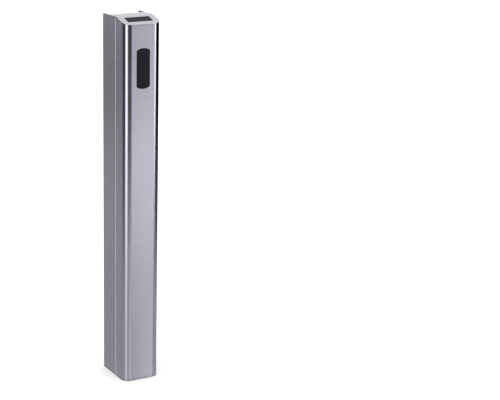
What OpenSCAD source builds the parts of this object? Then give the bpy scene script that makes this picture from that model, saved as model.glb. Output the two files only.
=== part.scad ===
// Slim ticket reader column: a stainless-steel post that stands at the end of an entrance gate.
// A scanner looks up through a window in the sloped cap, and a display shows behind the front.
// Lengths are millimetres. X runs across the front, +Y to the back, +Z up.
// Heights start at the floor. Depths in the sub-part modules are counted from the front face.

/* [Column] */
// Height of the level rear part of the top
col_h = 1000; // [800:10:1300]
// Width across the front
col_w = 108; // [90:1:140]
// Depth from the front face to the rear edges of the side walls
col_d = 130; // [120:1:180]
// Outer radius of the two front corners
corner_r = 22; // [14:1:28]
// Thickness of the outer wall sheet
sheet_t = 2; // [1.5:0.25:3]
// Height of the cover's lower edge above the floor
cover_lift = 1; // [0.5:0.5:4]

/* [Side seam] */
// Depth of the middle of the seam strip behind the front face
seam_y = 54; // [50:1:60]
// Visible width of the seam strip
seam_w = 3; // [2:0.5:5]
// Joint line on each side of the seam strip
seam_gap = 0.6; // [0.4:0.1:1.2]
// How far the strip sits below the outer face
seam_sink = 0.2; // [0.1:0.1:0.6]

/* [Top cap] */
// Thickness of the cap plate
cap_t = 2.5; // [2:0.5:4]
// Depth of the cap plate from the front face
cap_l = 95; // [93:1:110]
// Slope of the front part of the cap in degrees
slope_deg = 17; // [10:1:25]
// Depth of the sloped part from the front face
slope_l = 50; // [44:1:56]
// Radius of the bend between the sloped and the level part
bend_r = 50; // [20:5:60]
// Joint line between the cap and the walls under it
cap_gap = 0.5; // [0.3:0.1:1]
// Depth of the rim that reaches down inside the cover
rim_h = 9; // [6:1:14]

/* [Scanner window] */
// Width of the window in the cap
win_w = 72; // [50:1:76]
// Length of the window along the slope
win_l = 27.5; // [20:0.5:30]
// Depth of the window's middle behind the front face
win_y = 27.9; // [26:0.1:32]
// How far the pane sits below the cap's surface
win_sink = 0.9; // [0.3:0.1:1.5]

/* [Display window] */
// Width of the display window
disp_w = 39; // [30:1:44]
// Height of the display window between the tops of its arches
disp_h = 107; // [80:1:140]
// Rise of the arched ends
disp_rise = 6; // [3:0.5:8]
// Distance from the top of the column down to the window's middle
disp_drop = 131; // [120:1:200]

/* [Frame] */
// Thickness of the frame sheet inside the column
frame_t = 2; // [1.5:0.25:3]
// Depth of the web's rear face behind the front face
web_y = 93; // [90:1:95]
// Thickness of the base plate
base_t = 6; // [5:1:10]
// Radius of the floor anchor holes
anchor_r = 5.5; // [4:0.5:7]
// Radius of the holes that take the gate's bolts
gate_hole_r = 4.5; // [3:0.5:6]
// Radius of the cable hole in the base plate
floor_cable_r = 15; // [8:1:16]

/* [Scanner module] */
// Width of the scanner's housing
scan_w = 68; // [50:1:70]
// Length of the scanner's housing along the slope
scan_l = 34; // [26:1:36]
// Height of the scanner's housing
scan_h = 26; // [20:1:28]
// Radius of the pivot screws that the scanner tilts on
pivot_r = 2.5; // [2:0.25:3]

/* [Hidden] */

$fn = 48;
EPS = 1;               // overshoot of a cut past the face it opens
FUSE = 0.5;            // overlap of shapes that make one solid
TOUCH_GAP = 0.3;       // gap between faces of pieces that move against each other
BORE_GAP = 0.06;       // radial clearance of a running fit
HOLE_GAP = 0.1;        // radial clearance of a fixed screw or stud in its hole

steel_grey = [0.62, 0.62, 0.65];
polished = [0.86, 0.86, 0.88];
zinc = [0.72, 0.73, 0.72];
rubber_black = [0.08, 0.08, 0.08];
plastic_black = [0.05, 0.05, 0.06];
board_green = [0.05, 0.30, 0.15];

// Outer walls
half_w = col_w / 2;
wall_x = half_w - sheet_t;                     // inner face of the side walls
cover_d = seam_y - seam_w / 2 - seam_gap;      // rear edge of the front cover
panel_y = seam_y + seam_w / 2 + seam_gap;      // front edge of the side panels
flange_w = 15.5;                               // return flange at the cover's rear edges
flange_x = wall_x - flange_w;
flange_z0 = base_t + 2;
hem_w = 8;                                     // folded hem at the side panels' rear edges
hem_t = 1.5;

// Frame inside the column
rail_y = cover_d + 4.1;                        // front face of the rails
rail_x = flange_x - 0.5;                       // inner edge of the rails
rail_leg = 20;                                 // depth of the rail's leg on the side wall
fit_x = wall_x - 7.8;                          // pegs, magnets and plunger stand on this line
web_front = web_y - frame_t;
web_flange = 13;
base_inset = sheet_t + 0.8;

// Cap and its window stack, as distances below the cap's surface
gasket_t = 1;
pane_flange_top = cap_t + gasket_t;
pane_bottom = pane_flange_top + 2.5;
clamp_t = 1.5;
pane_margin_x = 5;
pane_margin_y = 2.5;
clamp_margin_x = 12;
window_fit = 0.3;
window_stud_r = 1.5;
window_stud_x = win_w / 2 + pane_margin_x + 3.7;
window_stud_y = win_l / 2 - 4;

// Display stack, as depths behind the front face
disp_z = col_h - disp_drop;
lens_sink = 0.4;
lens_flange_y = sheet_t + gasket_t;
mask_y = lens_flange_y + 2;
diffuser_y = mask_y + 1;
housing_y = diffuser_y + 2;
housing_d = 18;
housing_wall = 2;
lens_margin = 4;
housing_margin = 7;
led_board_y = housing_y + housing_d - housing_wall - 2.4 - 1.6;
stud_r = 1.5;
disp_stud_x = disp_w / 2 + housing_margin + 3.4;
disp_stud_z = disp_h / 2 - 8;
nut_h = 2.4;
nut_r = 3.1;

// Fittings between the cover and the frame
peg_r = 3;
peg_z = [120, col_h - 120];
bush_r = 4.6;
magnet_z = [200, col_h - 200];
magnet_h = 24;
magnet_w = 8;
striker_t = 0.8;
tamper_z = col_h / 2;
plunger_r = 2;
tamper_body_d = 20;

// Equipment plate and what it carries
plate_y = 74;
plate_x = 34;
plate_z0 = 110;
plate_z1 = col_h - 220;
spacer_x = 28;
spacer_z = [plate_z0 + 20, plate_z1 - 20];
board_t = 1.6;
board_y = 66;
board_x = 33;
board_h = 140;
board_z1 = plate_z1 - 80;
board_z0 = board_z1 - board_h;
board_hole_x = board_x - 4;
connector_h = 10;
psu_w = 56;
psu_h = 120;
psu_d = 34;
psu_z0 = board_z0 - 50 - psu_h;
rail35_z = psu_z0 - 90;
rail35_h = 35;
rail35_d = 7.5;
rail35_x = 33;
block_h = 48;
block_d = 30;
block_w = 6;
block_pitch = 6.4;
block_count = 5;
block_x0 = -32;
breaker_w = 18;
breaker_h = 76;
breaker_x = 6;
breaker_y = 30;
lever_y = breaker_y + 4;
lever_r = 4;
lever_slot_w = 8;
lever_slot_h = 24;
lever_deg = 25;
wire_r = 1.1;
lead_r = 2;
lead_y = 61;
earth_z = plate_z0 + 35;

// Scanner and its bracket
pane_to_pivot = 36;                            // along the slope's normal
piv_y = win_y + pane_to_pivot * sin(slope_deg);
piv_z = slope_z(win_y, 0) - pane_to_pivot * cos(slope_deg);
ear_x = scan_w / 2 + 3;
shelf_x = ear_x + 3;
shelf_z = piv_z - 27;
shelf_y = housing_y + housing_d + 2;
rail_top = shelf_z - frame_t - 1;
bracket_drop = 20;
scan_wall = 2;
scan_board_z = -scan_h / 2 + 7;
bracket_screw_x = shelf_x - 10;
bracket_screw_z = shelf_z - bracket_drop / 2 - 1;

// Fixing holes
anchor_x = 37;
anchor_y = [22, 72];
gate_hole_x = 42;
gate_hole_z = [130, col_h - 130];
grommet_z = [70, plate_z1 + 65];
grommet_r = 12;
grommet_bore = 8;

// Depth and height of the centre of the cap's bend
function bend_centre() = [slope_l + bend_r * tan(slope_deg / 2), col_h - bend_r];

// Height of the sloped plane at depth y, drop millimetres below the cap's surface
function slope_z(y, drop) = bend_centre()[1] + (bend_r - drop) * cos(slope_deg)
    + (y - bend_centre()[0] + (bend_r - drop) * sin(slope_deg)) * tan(slope_deg);

// Side view of the top, drop millimetres below the cap's surface, from y0 back to y1
function top_line(drop, y0, y1) = concat(
    [[y0, slope_z(y0, drop)]],
    [for (i = [0:8]) bend_centre()
        + (bend_r - drop) * [cos(90 + slope_deg * (1 - i / 8)), sin(90 + slope_deg * (1 - i / 8))]],
    [[y1, col_h - drop]]);

// Depth of the cover's inner face x millimetres from its middle, flat or in the rounded corner
function inner_face_y(x) = x <= half_w - corner_r ? sheet_t
    : corner_r - sqrt(pow(corner_r - sheet_t, 2) - pow(x - half_w + corner_r, 2));

// Moves a shape from depths behind the front face to the column's own frame
module in_place() {
    translate([0, -col_d / 2, 0]) children();
}

// Extrudes a side view (depth, height) across the column between x0 and x1
module side_view(x0, x1) {
    translate([x0, 0, 0]) rotate([90, 0, 90]) linear_extrude(x1 - x0) children();
}

// Extrudes a front view (x, height) from depth y, t millimetres to the back
module front_view(y, t) {
    translate([0, y + t, 0]) rotate([90, 0, 0]) linear_extrude(t) children();
}

// A cylinder along Y that starts at depth y
module rod_y(x, y, z, r, l) {
    translate([x, y, z]) rotate([-90, 0, 0]) cylinder(r = r, h = l);
}

// Everything that stands above the top, drop millimetres below the cap's surface
module above_top(drop) {
    reach = col_d + 20;
    side_view(-col_w, col_w) polygon(concat(top_line(drop, -20, reach),
        [[reach, col_h + 40], [-20, col_h + 40]]));
}

// Outline of the column in plan, inset from its outer face and cut off at depth y1
module plan(inset, y1) {
    r = corner_r - inset;
    straight = half_w - corner_r;
    translate([-half_w + inset, corner_r]) square([col_w - 2 * inset, y1 - corner_r]);
    translate([-straight, inset]) square([2 * straight, corner_r - inset + FUSE]);
    for (side = [-1, 1]) translate([side * straight, corner_r]) circle(r = r);
}

// Outline of the display window, grown by margin, around its own middle
module display_outline(margin) {
    arch_r = (disp_w * disp_w / 4 + disp_rise * disp_rise) / (2 * disp_rise);
    arch_z = disp_h / 2 - arch_r;
    width = disp_w + 2 * margin;
    height = disp_h + 2 * margin;
    intersection() {
        square([width, height], center = true);
        union() {
            for (end = [-1, 1]) translate([0, end * arch_z]) circle(r = arch_r + margin, $fn = 96);
            square([width, 2 * arch_z], center = true);
        }
    }
}

// Places a shape on the cap's slope: its XY plane is the surface at the window's middle
module on_slope() {
    translate([0, win_y, slope_z(win_y, 0)]) rotate([slope_deg, 0, 0]) children();
}

// Block centred on X and Y that reaches from z0 up to z1
module slab(w, l, z0, z1) {
    translate([-w / 2, -l / 2, z0]) cube([w, l, z1 - z0]);
}

// ---- Front cover and cap -------------------------------------------------------------------

// Folded sheet with rounded corners, its return flanges and the display opening
module front_cover() {
    flange_top = shelf_z - 12;
    color(steel_grey) in_place() difference() {
        union() {
            difference() {
                translate([0, 0, cover_lift]) linear_extrude(col_h) plan(0, cover_d);
                linear_extrude(col_h + 2 * EPS) plan(sheet_t, cover_d + EPS);
                translate([0, 0, -EPS]) linear_extrude(2 * EPS + cover_lift) plan(sheet_t, cover_d + EPS);
            }
            for (side = [0, 1]) mirror([side, 0, 0])
                translate([flange_x, cover_d - sheet_t, flange_z0])
                    cube([flange_w + FUSE, sheet_t, flange_top - flange_z0]);
        }
        above_top(cap_t + cap_gap);
        translate([0, 0, disp_z]) front_view(-EPS, sheet_t + 2 * EPS) display_outline(0);
        for (side = [-1, 1]) for (z = peg_z)
            rod_y(side * fit_x, cover_d - sheet_t - EPS, z, peg_r + HOLE_GAP, sheet_t + 2 * EPS);
    }
}

// Bent cap plate with the window opening and the rim inside the cover
module top_cap() {
    rim_t = 1.5;
    rim_x = wall_x - 0.2 - rim_t;
    rim_y1 = cover_d - 4;
    color(steel_grey) in_place() difference() {
        union() {
            intersection() {
                linear_extrude(col_h + EPS) plan(0, cap_l);
                cap_strip(0, cap_t, -EPS, cap_l + EPS, -half_w - EPS, half_w + EPS);
            }
            for (side = [0, 1]) mirror([side, 0, 0])
                cap_strip(cap_t - FUSE, cap_t + rim_h, corner_r, rim_y1, rim_x, rim_x + rim_t);
            front_run = half_w - corner_r - 2;
            cap_strip(cap_t - FUSE, cap_t + rim_h, sheet_t + 0.2, sheet_t + 0.2 + rim_t,
                -front_run, front_run);
        }
        on_slope() slab(win_w, win_l, -3 * cap_t, EPS);
    }
}

// Strip that follows the top between two drops, from depth y0 to y1 and from x0 to x1
module cap_strip(drop0, drop1, y0, y1, x0, x1) {
    intersection() {
        side_view(x0, x1) difference() {
            polygon(concat(top_line(drop0, y0 - 2, y1 + 40), [[y1 + 40, 0], [y0 - 2, 0]]));
            polygon(concat(top_line(drop1, y0 - 4, y1 + 42), [[y1 + 42, -9], [y0 - 4, -9]]));
        }
        translate([x0 - EPS, y0, 0]) cube([x1 - x0 + 2 * EPS, y1 - y0, col_h + EPS]);
    }
}

// Soft ring between the cap's underside and the pane
module window_gasket() {
    color(rubber_black) in_place() on_slope() difference() {
        slab(win_w + 2 * pane_margin_x, win_l + 2 * pane_margin_y, -pane_flange_top, -cap_t);
        slab(win_w + 1, win_l + 1, -pane_flange_top - EPS, -cap_t + EPS);
    }
}

// Dark red pane: a raised pad fills the opening and a flange holds it from below
module window_pane() {
    color([0.35, 0.03, 0.05]) in_place() on_slope() {
        slab(win_w - 2 * window_fit, win_l - 2 * window_fit, -pane_bottom, -win_sink);
        slab(win_w + 2 * pane_margin_x, win_l + 2 * pane_margin_y, -pane_bottom, -pane_flange_top);
    }
}

// Steel frame that presses the pane up against the gasket
module window_clamp() {
    color(zinc) in_place() intersection() {
        on_slope() difference() {
            slab(win_w + 2 * clamp_margin_x, win_l + 2 * pane_margin_y,
                -pane_bottom - clamp_t, -pane_bottom);
            slab(win_w, win_l, -pane_bottom - clamp_t - EPS, -pane_bottom + EPS);
            window_stud_places() translate([0, 0, -pane_bottom - clamp_t - EPS])
                cylinder(r = window_stud_r + HOLE_GAP, h = clamp_t + 2 * EPS);
        }
        linear_extrude(col_h) plan(sheet_t + 1, cap_l);
    }
}

module window_stud_places() {
    for (x = [-1, 1]) for (y = [-1, 1]) translate([x * window_stud_x, y * window_stud_y, 0]) children();
}

// Four weld studs under the cap, each with its nut
module window_nuts() {
    color(zinc) in_place() on_slope() window_stud_places() {
        translate([0, 0, -pane_bottom - clamp_t - 4])
            cylinder(r = window_stud_r, h = pane_bottom + clamp_t + 4 - cap_t);
        translate([0, 0, -pane_bottom - clamp_t - 2.4]) cylinder(r = 2.9, h = 2.4, $fn = 6);
    }
}

// Smoked lens with a raised pad that fills the opening
module display_lens() {
    color([0.04, 0.04, 0.05]) in_place() translate([0, 0, disp_z]) {
        front_view(lens_sink, mask_y - lens_sink) display_outline(-window_fit / 2);
        front_view(lens_flange_y, mask_y - lens_flange_y) display_outline(lens_margin);
    }
}

// Soft ring between the cover sheet and the lens
module display_gasket() {
    color(rubber_black) in_place() translate([0, 0, disp_z]) front_view(sheet_t, gasket_t)
        difference() {
            display_outline(lens_margin);
            display_outline(0.5);
        }
}

// Black plate with the arrow cut through it
module display_mask() {
    color(plastic_black) in_place() translate([0, 0, disp_z])
        front_view(mask_y, diffuser_y - mask_y) difference() {
            display_outline(lens_margin);
            arrow();
        }
}

// Arrow that points down to the left, around the display's own middle
module arrow() {
    tip = [-9, -45];
    head_l = 17;
    head_w = 24;
    shaft_w = 11.5;
    shaft_l = 32;
    lean_deg = 21;
    translate(tip) rotate(-lean_deg) polygon([[0, 0], [head_w / 2, head_l], [shaft_w / 2, head_l],
        [shaft_w / 2, head_l + shaft_l], [-shaft_w / 2, head_l + shaft_l], [-shaft_w / 2, head_l],
        [-head_w / 2, head_l]]);
}

// White plate that spreads the light behind the mask
module display_diffuser() {
    color("white") in_place() translate([0, 0, disp_z])
        front_view(diffuser_y, housing_y - diffuser_y) display_outline(lens_margin);
}

// Tray behind the display with four ears and four posts for the light board
module display_housing() {
    outer_w = disp_w + 2 * housing_margin;
    outer_h = disp_h + 2 * housing_margin;
    rear = housing_y + housing_d;
    ear_h = 12;
    color(plastic_black) in_place() translate([0, 0, disp_z]) difference() {
        union() {
            front_view(housing_y, housing_d) difference() {
                square([outer_w, outer_h], center = true);
                square([outer_w - 2 * housing_wall, outer_h - 2 * housing_wall], center = true);
            }
            front_view(rear - housing_wall, housing_wall) square([outer_w, outer_h], center = true);
            front_view(housing_y, 2 * FUSE + 1) difference() {
                square([outer_w, outer_h], center = true);
                square([disp_w + 2, disp_h + 2], center = true);
            }
            for (x = [-1, 1]) for (z = [-1, 1]) {
                translate([x * disp_stud_x, 0, z * disp_stud_z]) front_view(housing_y, housing_wall)
                    square([2 * (stud_r + 2.6), ear_h], center = true);
                rod_y(x * (outer_w / 2 - 6), led_board_y + board_t, z * (outer_h / 2 - 6), 2.5,
                    rear - housing_wall - led_board_y - board_t + FUSE);
            }
        }
        for (x = [-1, 1]) for (z = [-1, 1])
            rod_y(x * disp_stud_x, housing_y - EPS, z * disp_stud_z, stud_r + HOLE_GAP,
                housing_wall + 2 * EPS);
    }
}

// Circuit board that carries the display's lights
module led_board() {
    color(board_green) in_place() translate([0, 0, disp_z]) front_view(led_board_y, board_t)
        square([disp_w + 2 * housing_margin - 2 * housing_wall - 1,
            disp_h + 2 * housing_margin - 2 * housing_wall - 1], center = true);
}

// Rows of light chips on the board
module display_leds() {
    chip = 5;
    rows = 9;
    pitch_x = disp_w / 3;
    pitch_z = disp_h / rows;
    color("ivory") in_place() translate([0, 0, disp_z])
        for (col = [-1:1]) for (row = [0:rows - 1])
            translate([col * pitch_x, 0, (row - (rows - 1) / 2) * pitch_z])
                front_view(led_board_y - board_t, board_t) square(chip, center = true);
}

// Four weld studs on the cover's inner face that carry the display
module display_studs() {
    front = inner_face_y(disp_stud_x + stud_r);
    color(zinc) in_place() for (x = [-1, 1]) for (z = [-1, 1])
        rod_y(x * disp_stud_x, front, disp_z + z * disp_stud_z, stud_r,
            housing_y + housing_wall + nut_h + 1.5 - front);
}

// Nuts on the display's studs
module display_nuts() {
    color(zinc) in_place() for (x = [-1, 1]) for (z = [-1, 1]) difference() {
        translate([x * disp_stud_x, housing_y + housing_wall, disp_z + z * disp_stud_z])
            rotate([-90, 0, 0]) cylinder(r = nut_r, h = nut_h, $fn = 6);
        rod_y(x * disp_stud_x, housing_y + housing_wall - EPS, disp_z + z * disp_stud_z,
            stud_r + HOLE_GAP, nut_h + 2 * EPS);
    }
}

// Two hat channels that keep the cover's front flat
module cover_stiffeners() {
    depth = 6;
    height = 24;
    lip = 8;
    wall = 1.5;
    half = half_w - corner_r - 2;
    color(zinc) in_place() for (z = [0.3 * col_h, 0.6 * col_h])
        side_view(-half, half) polygon([
            [sheet_t, z - height / 2 - lip], [sheet_t, z - height / 2 + wall],
            [sheet_t + depth - wall, z - height / 2 + wall], [sheet_t + depth - wall, z + height / 2 - wall],
            [sheet_t, z + height / 2 - wall], [sheet_t, z + height / 2 + lip],
            [sheet_t + wall, z + height / 2 + lip], [sheet_t + wall, z + height / 2],
            [sheet_t + depth, z + height / 2], [sheet_t + depth, z - height / 2],
            [sheet_t + wall, z - height / 2], [sheet_t + wall, z - height / 2 - lip]]);
}

// Four pegs on the cover's flanges that slide into the bushes of the frame
module cover_pegs() {
    shank = rail_y + 12 - cover_d;
    color(polished) in_place() for (side = [-1, 1]) for (z = peg_z) {
        rod_y(side * fit_x, cover_d - sheet_t - 2, z, 4.5, 2);
        rod_y(side * fit_x, cover_d - sheet_t - FUSE, z, peg_r, shank - 2 + sheet_t + FUSE);
        translate([side * fit_x, cover_d + shank - 2, z]) rotate([-90, 0, 0])
            cylinder(r1 = peg_r, r2 = peg_r - 1, h = 2);
    }
}

// Steel plates that the magnets hold
module striker_plates() {
    color(zinc) in_place() for (side = [-1, 1]) for (z = magnet_z)
        translate([side * fit_x - magnet_w / 2, cover_d, z - magnet_h / 2])
            cube([magnet_w, striker_t, magnet_h]);
}

// ---- Frame and walls -----------------------------------------------------------------------

// Floor plate with the anchor holes and the cable hole
module base_plate() {
    color(zinc) in_place() difference() {
        linear_extrude(base_t) plan(base_inset, web_y);
        for (x = [-1, 1]) for (y = anchor_y) translate([x * anchor_x, y, -EPS])
            cylinder(r = anchor_r, h = base_t + 2 * EPS);
        translate([0, (anchor_y[0] + anchor_y[1]) / 2, -EPS])
            cylinder(r = floor_cable_r, h = base_t + 2 * EPS);
    }
}

// Two ribs that stiffen the web against the base plate
module base_gussets() {
    rib_t = 3;
    rib_x = floor_cable_r + 4;
    reach = 28;
    color(zinc) in_place() for (side = [0, 1]) mirror([side, 0, 0])
        side_view(rib_x, rib_x + rib_t) polygon([[web_front, base_t], [web_front - reach, base_t],
            [web_front - reach, base_t + 6], [web_front - 6, base_t + 50], [web_front, base_t + 50]]);
}

// Side wall behind the seam; its rear part stands proud of the frame to wrap the gate's post
module side_panel() {
    color(steel_grey) in_place() difference() {
        union() {
            translate([wall_x, panel_y, 0]) cube([sheet_t, col_d - panel_y, col_h]);
            translate([wall_x - hem_t, col_d - hem_w, 0]) cube([hem_t + FUSE, hem_w, col_h]);
        }
        intersection() {
            above_top(cap_t + cap_gap);
            cube([col_w, cap_l + TOUCH_GAP, 2 * col_h]);
        }
    }
}

module left_side_panel() {
    mirror([1, 0, 0]) side_panel();
}

module right_side_panel() {
    side_panel();
}

// Bright strip that fills the joint between the cover and the side panel
module seam_strip() {
    color(polished) in_place() difference() {
        union() {
            translate([wall_x - 2.5, seam_y - seam_w / 2, base_t + FUSE])
                cube([2.5, rail_y - seam_y + seam_w / 2, col_h]);
            translate([wall_x - FUSE, seam_y - seam_w / 2, 0])
                cube([sheet_t - seam_sink + FUSE, seam_w, col_h]);
        }
        above_top(cap_t + cap_gap + 1.2);
    }
}

module left_seam_strip() {
    mirror([1, 0, 0]) seam_strip();
}

module right_seam_strip() {
    seam_strip();
}

// Angle on the inner side of the side panel that the cover closes against
module rail(tamper) {
    color(zinc) in_place() difference() {
        translate([0, 0, base_t]) linear_extrude(rail_top - base_t) {
            translate([rail_x, rail_y]) square([wall_x - rail_x, frame_t]);
            translate([wall_x - frame_t, rail_y]) square([frame_t, rail_leg]);
        }
        for (z = peg_z) rod_y(fit_x, rail_y - EPS, z, bush_r + HOLE_GAP, frame_t + 2 * EPS);
        if (tamper) rod_y(fit_x, rail_y - EPS, tamper_z, plunger_r + 0.5, frame_t + 2 * EPS);
    }
}

module left_rail() {
    mirror([1, 0, 0]) rail(false);
}

module right_rail() {
    rail(true);
}

// Foam strip on the rail that the cover's flange closes against
module rail_gasket() {
    strip_w = 3;
    top = shelf_z - 12;
    color(rubber_black) in_place() translate([rail_x + 1, cover_d + TOUCH_GAP, flange_z0])
        cube([strip_w, rail_y - cover_d - TOUCH_GAP, top - flange_z0]);
}

module left_gasket() {
    mirror([1, 0, 0]) rail_gasket();
}

module right_gasket() {
    rail_gasket();
}

// Bushes in the rails that the cover's pegs slide in
module guide_bushes() {
    color("goldenrod") in_place() for (side = [-1, 1]) for (z = peg_z) difference() {
        union() {
            rod_y(side * fit_x, rail_y, z, bush_r, 12);
            rod_y(side * fit_x, rail_y + frame_t, z, bush_r + 1, 1.5);
        }
        rod_y(side * fit_x, rail_y - EPS, z, peg_r + BORE_GAP, 12 + 2 * EPS);
    }
}

// Magnets on the rails that hold the cover closed
module catch_magnets() {
    front = cover_d + striker_t + TOUCH_GAP;
    color([0.25, 0.25, 0.27]) in_place() for (side = [-1, 1]) for (z = magnet_z)
        translate([side * fit_x - magnet_w / 2, front, z - magnet_h / 2])
            cube([magnet_w, rail_y - front, magnet_h]);
}

// Channel that closes the column at the back and carries the gate's bolts
module mounting_web() {
    flange_front = web_front - web_flange;
    color(zinc) in_place() difference() {
        translate([0, 0, base_t]) linear_extrude(col_h - base_t - cap_t - cap_gap) polygon([
            [-wall_x, flange_front], [-wall_x, web_y], [wall_x, web_y], [wall_x, flange_front],
            [wall_x - frame_t, flange_front], [wall_x - frame_t, web_front],
            [-wall_x + frame_t, web_front], [-wall_x + frame_t, flange_front]]);
        for (x = [-1, 1]) for (z = gate_hole_z)
            rod_y(x * gate_hole_x, web_front - EPS, z, gate_hole_r, frame_t + 2 * EPS);
        for (z = grommet_z) rod_y(0, web_front - EPS, z, grommet_r, frame_t + 2 * EPS);
        for (x = [-1, 1])
            rod_y(x * bracket_screw_x, web_front - EPS, bracket_screw_z, 2 + HOLE_GAP, frame_t + 2 * EPS);
    }
}

// Rubber rings that line the web's cable holes
module cable_grommets() {
    lip = 1.5;
    color(rubber_black) in_place() for (z = grommet_z) difference() {
        union() {
            rod_y(0, web_front - lip, z, grommet_r + 3, lip);
            rod_y(0, web_front - FUSE, z, grommet_r - 0.05, frame_t + 2 * FUSE);
            rod_y(0, web_y, z, grommet_r + 3, lip);
        }
        rod_y(0, web_front - lip - EPS, z, grommet_bore, frame_t + 2 * lip + 2 * EPS);
    }
}

// ---- Equipment -----------------------------------------------------------------------------

// Plate that carries the electrical parts in front of the web
module equipment_plate() {
    color(zinc) in_place() difference() {
        translate([-plate_x, plate_y, plate_z0]) cube([2 * plate_x, frame_t, plate_z1 - plate_z0]);
        for (x = [-1, 1]) for (z = spacer_z)
            rod_y(x * spacer_x, plate_y - EPS, z, 2 + HOLE_GAP, frame_t + 2 * EPS);
        rod_y(0, plate_y - EPS, earth_z, 3 + HOLE_GAP, frame_t + 2 * EPS);
    }
}

// Hexagonal spacers between the plate and the web
module plate_spacers() {
    length = web_front - plate_y - frame_t;
    color("goldenrod") in_place() for (x = [-1, 1]) for (z = spacer_z) difference() {
        translate([x * spacer_x, plate_y + frame_t, z]) rotate([-90, 0, 0])
            cylinder(r = 4, h = length, $fn = 6);
        rod_y(x * spacer_x, plate_y + frame_t - EPS, z, 2 + HOLE_GAP, length - 4 + EPS);
    }
}

// Pan-head screws that hold the plate on its spacers
module plate_screws() {
    color(polished) in_place() for (x = [-1, 1]) for (z = spacer_z) difference() {
        union() {
            rod_y(x * spacer_x, plate_y - FUSE, z, 2, 10);
            rod_y(x * spacer_x, plate_y - 2.4, z, 3.8, 2.4);
        }
        translate([x * spacer_x - 5, plate_y - 2.4 - EPS, z - 0.5]) cube([10, 1 + EPS, 1]);
    }
}

// Control board on its standoffs
module control_board() {
    color(board_green) in_place() difference() {
        translate([-board_x, board_y, board_z0]) cube([2 * board_x, board_t, board_h]);
        for (x = [-1, 1]) for (z = [board_z0 + 4, board_z1 - 4])
            rod_y(x * board_hole_x, board_y - EPS, z, 1.6, board_t + 2 * EPS);
    }
}

// Box on the front face of the control board
module board_box(x, z, w, h, d) {
    translate([x, board_y - d, z]) cube([w, d, h]);
}

// Connectors, relays, processor, capacitors and beeper on the control board
module board_parts() {
    color([0.15, 0.15, 0.16]) in_place() {
        board_box(-20, board_z0 + 1, 40, connector_h, 10);
        board_box(-20, board_z1 - 1 - connector_h, 40, connector_h, 10);
        for (i = [0:2]) board_box(-26 + i * 19, board_z0 + 24, 14, 18, 13);
        board_box(-22, board_z0 + 60, 20, 20, 2);
        board_box(4, board_z0 + 58, 12, 9, 1.6);
        board_box(4, board_z0 + 72, 12, 9, 1.6);
        for (i = [0:2]) rod_y(-20 + i * 11, board_y - 11, board_z0 + 95, 4, 11);
        difference() {
            rod_y(18, board_y - 8, board_z0 + 98, 7, 8);
            rod_y(18, board_y - 8 - EPS, board_z0 + 98, 1.2, 2 + EPS);
        }
    }
}

// Standoffs with the screws that hold the control board
module board_standoffs() {
    color("goldenrod") in_place() for (x = [-1, 1]) for (z = [board_z0 + 4, board_z1 - 4]) {
        rod_y(x * board_hole_x, board_y + board_t, z, 3, plate_y - board_y - board_t);
        rod_y(x * board_hole_x, board_y - 1, z, 1.5, board_t + 1 + FUSE);
        rod_y(x * board_hole_x, board_y - 2, z, 2.8, 2);
    }
}

// Power supply in a slotted metal case
module power_supply() {
    rows = 9;
    slot_pitch = (psu_h - 20) / rows;
    color([0.75, 0.75, 0.74]) in_place() difference() {
        translate([-psu_w / 2, plate_y - psu_d, psu_z0]) cube([psu_w, psu_d, psu_h]);
        for (col = [-1, 1]) for (row = [0:rows - 1])
            translate([col * psu_w / 4 - 9, plate_y - psu_d - EPS, psu_z0 + 12 + row * slot_pitch])
                cube([18, 1.5 + EPS, 4]);
        for (side = [-1, 1]) for (row = [0:rows - 1])
            translate([side * psu_w / 2 - 1.5, plate_y - psu_d + 8, psu_z0 + 12 + row * slot_pitch])
                cube([3, psu_d - 14, 4]);
    }
}

// Top-hat rail across the plate
module din_rail() {
    lip = 7;
    wall = 1;
    front = plate_y - rail35_d;
    low = rail35_z - rail35_h / 2;
    high = rail35_z + rail35_h / 2;
    color(zinc) in_place() side_view(-rail35_x, rail35_x) polygon([
        [front, low], [front, low + lip], [plate_y - wall, low + lip], [plate_y - wall, high - lip],
        [front, high - lip], [front, high], [front + wall, high], [front + wall, high - lip + wall],
        [plate_y, high - lip + wall], [plate_y, low + lip - wall], [front + wall, low + lip - wall],
        [front + wall, low]]);
}

// Row of terminal blocks with their screw wells
module terminal_blocks() {
    rear = plate_y - rail35_d;
    color([0.55, 0.56, 0.58]) in_place() for (i = [0:block_count - 1])
        translate([block_x0 + i * block_pitch, 0, 0]) difference() {
            side_view(0, block_w) polygon([
                [rear, rail35_z - block_h / 2], [rear - block_d + 8, rail35_z - block_h / 2],
                [rear - block_d, rail35_z - block_h / 2 + 12],
                [rear - block_d, rail35_z + block_h / 2 - 12],
                [rear - block_d + 8, rail35_z + block_h / 2], [rear, rail35_z + block_h / 2]]);
            for (z = [-8, 8]) rod_y(block_w / 2, rear - block_d - EPS, rail35_z + z, 2, 9);
        }
}

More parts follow.
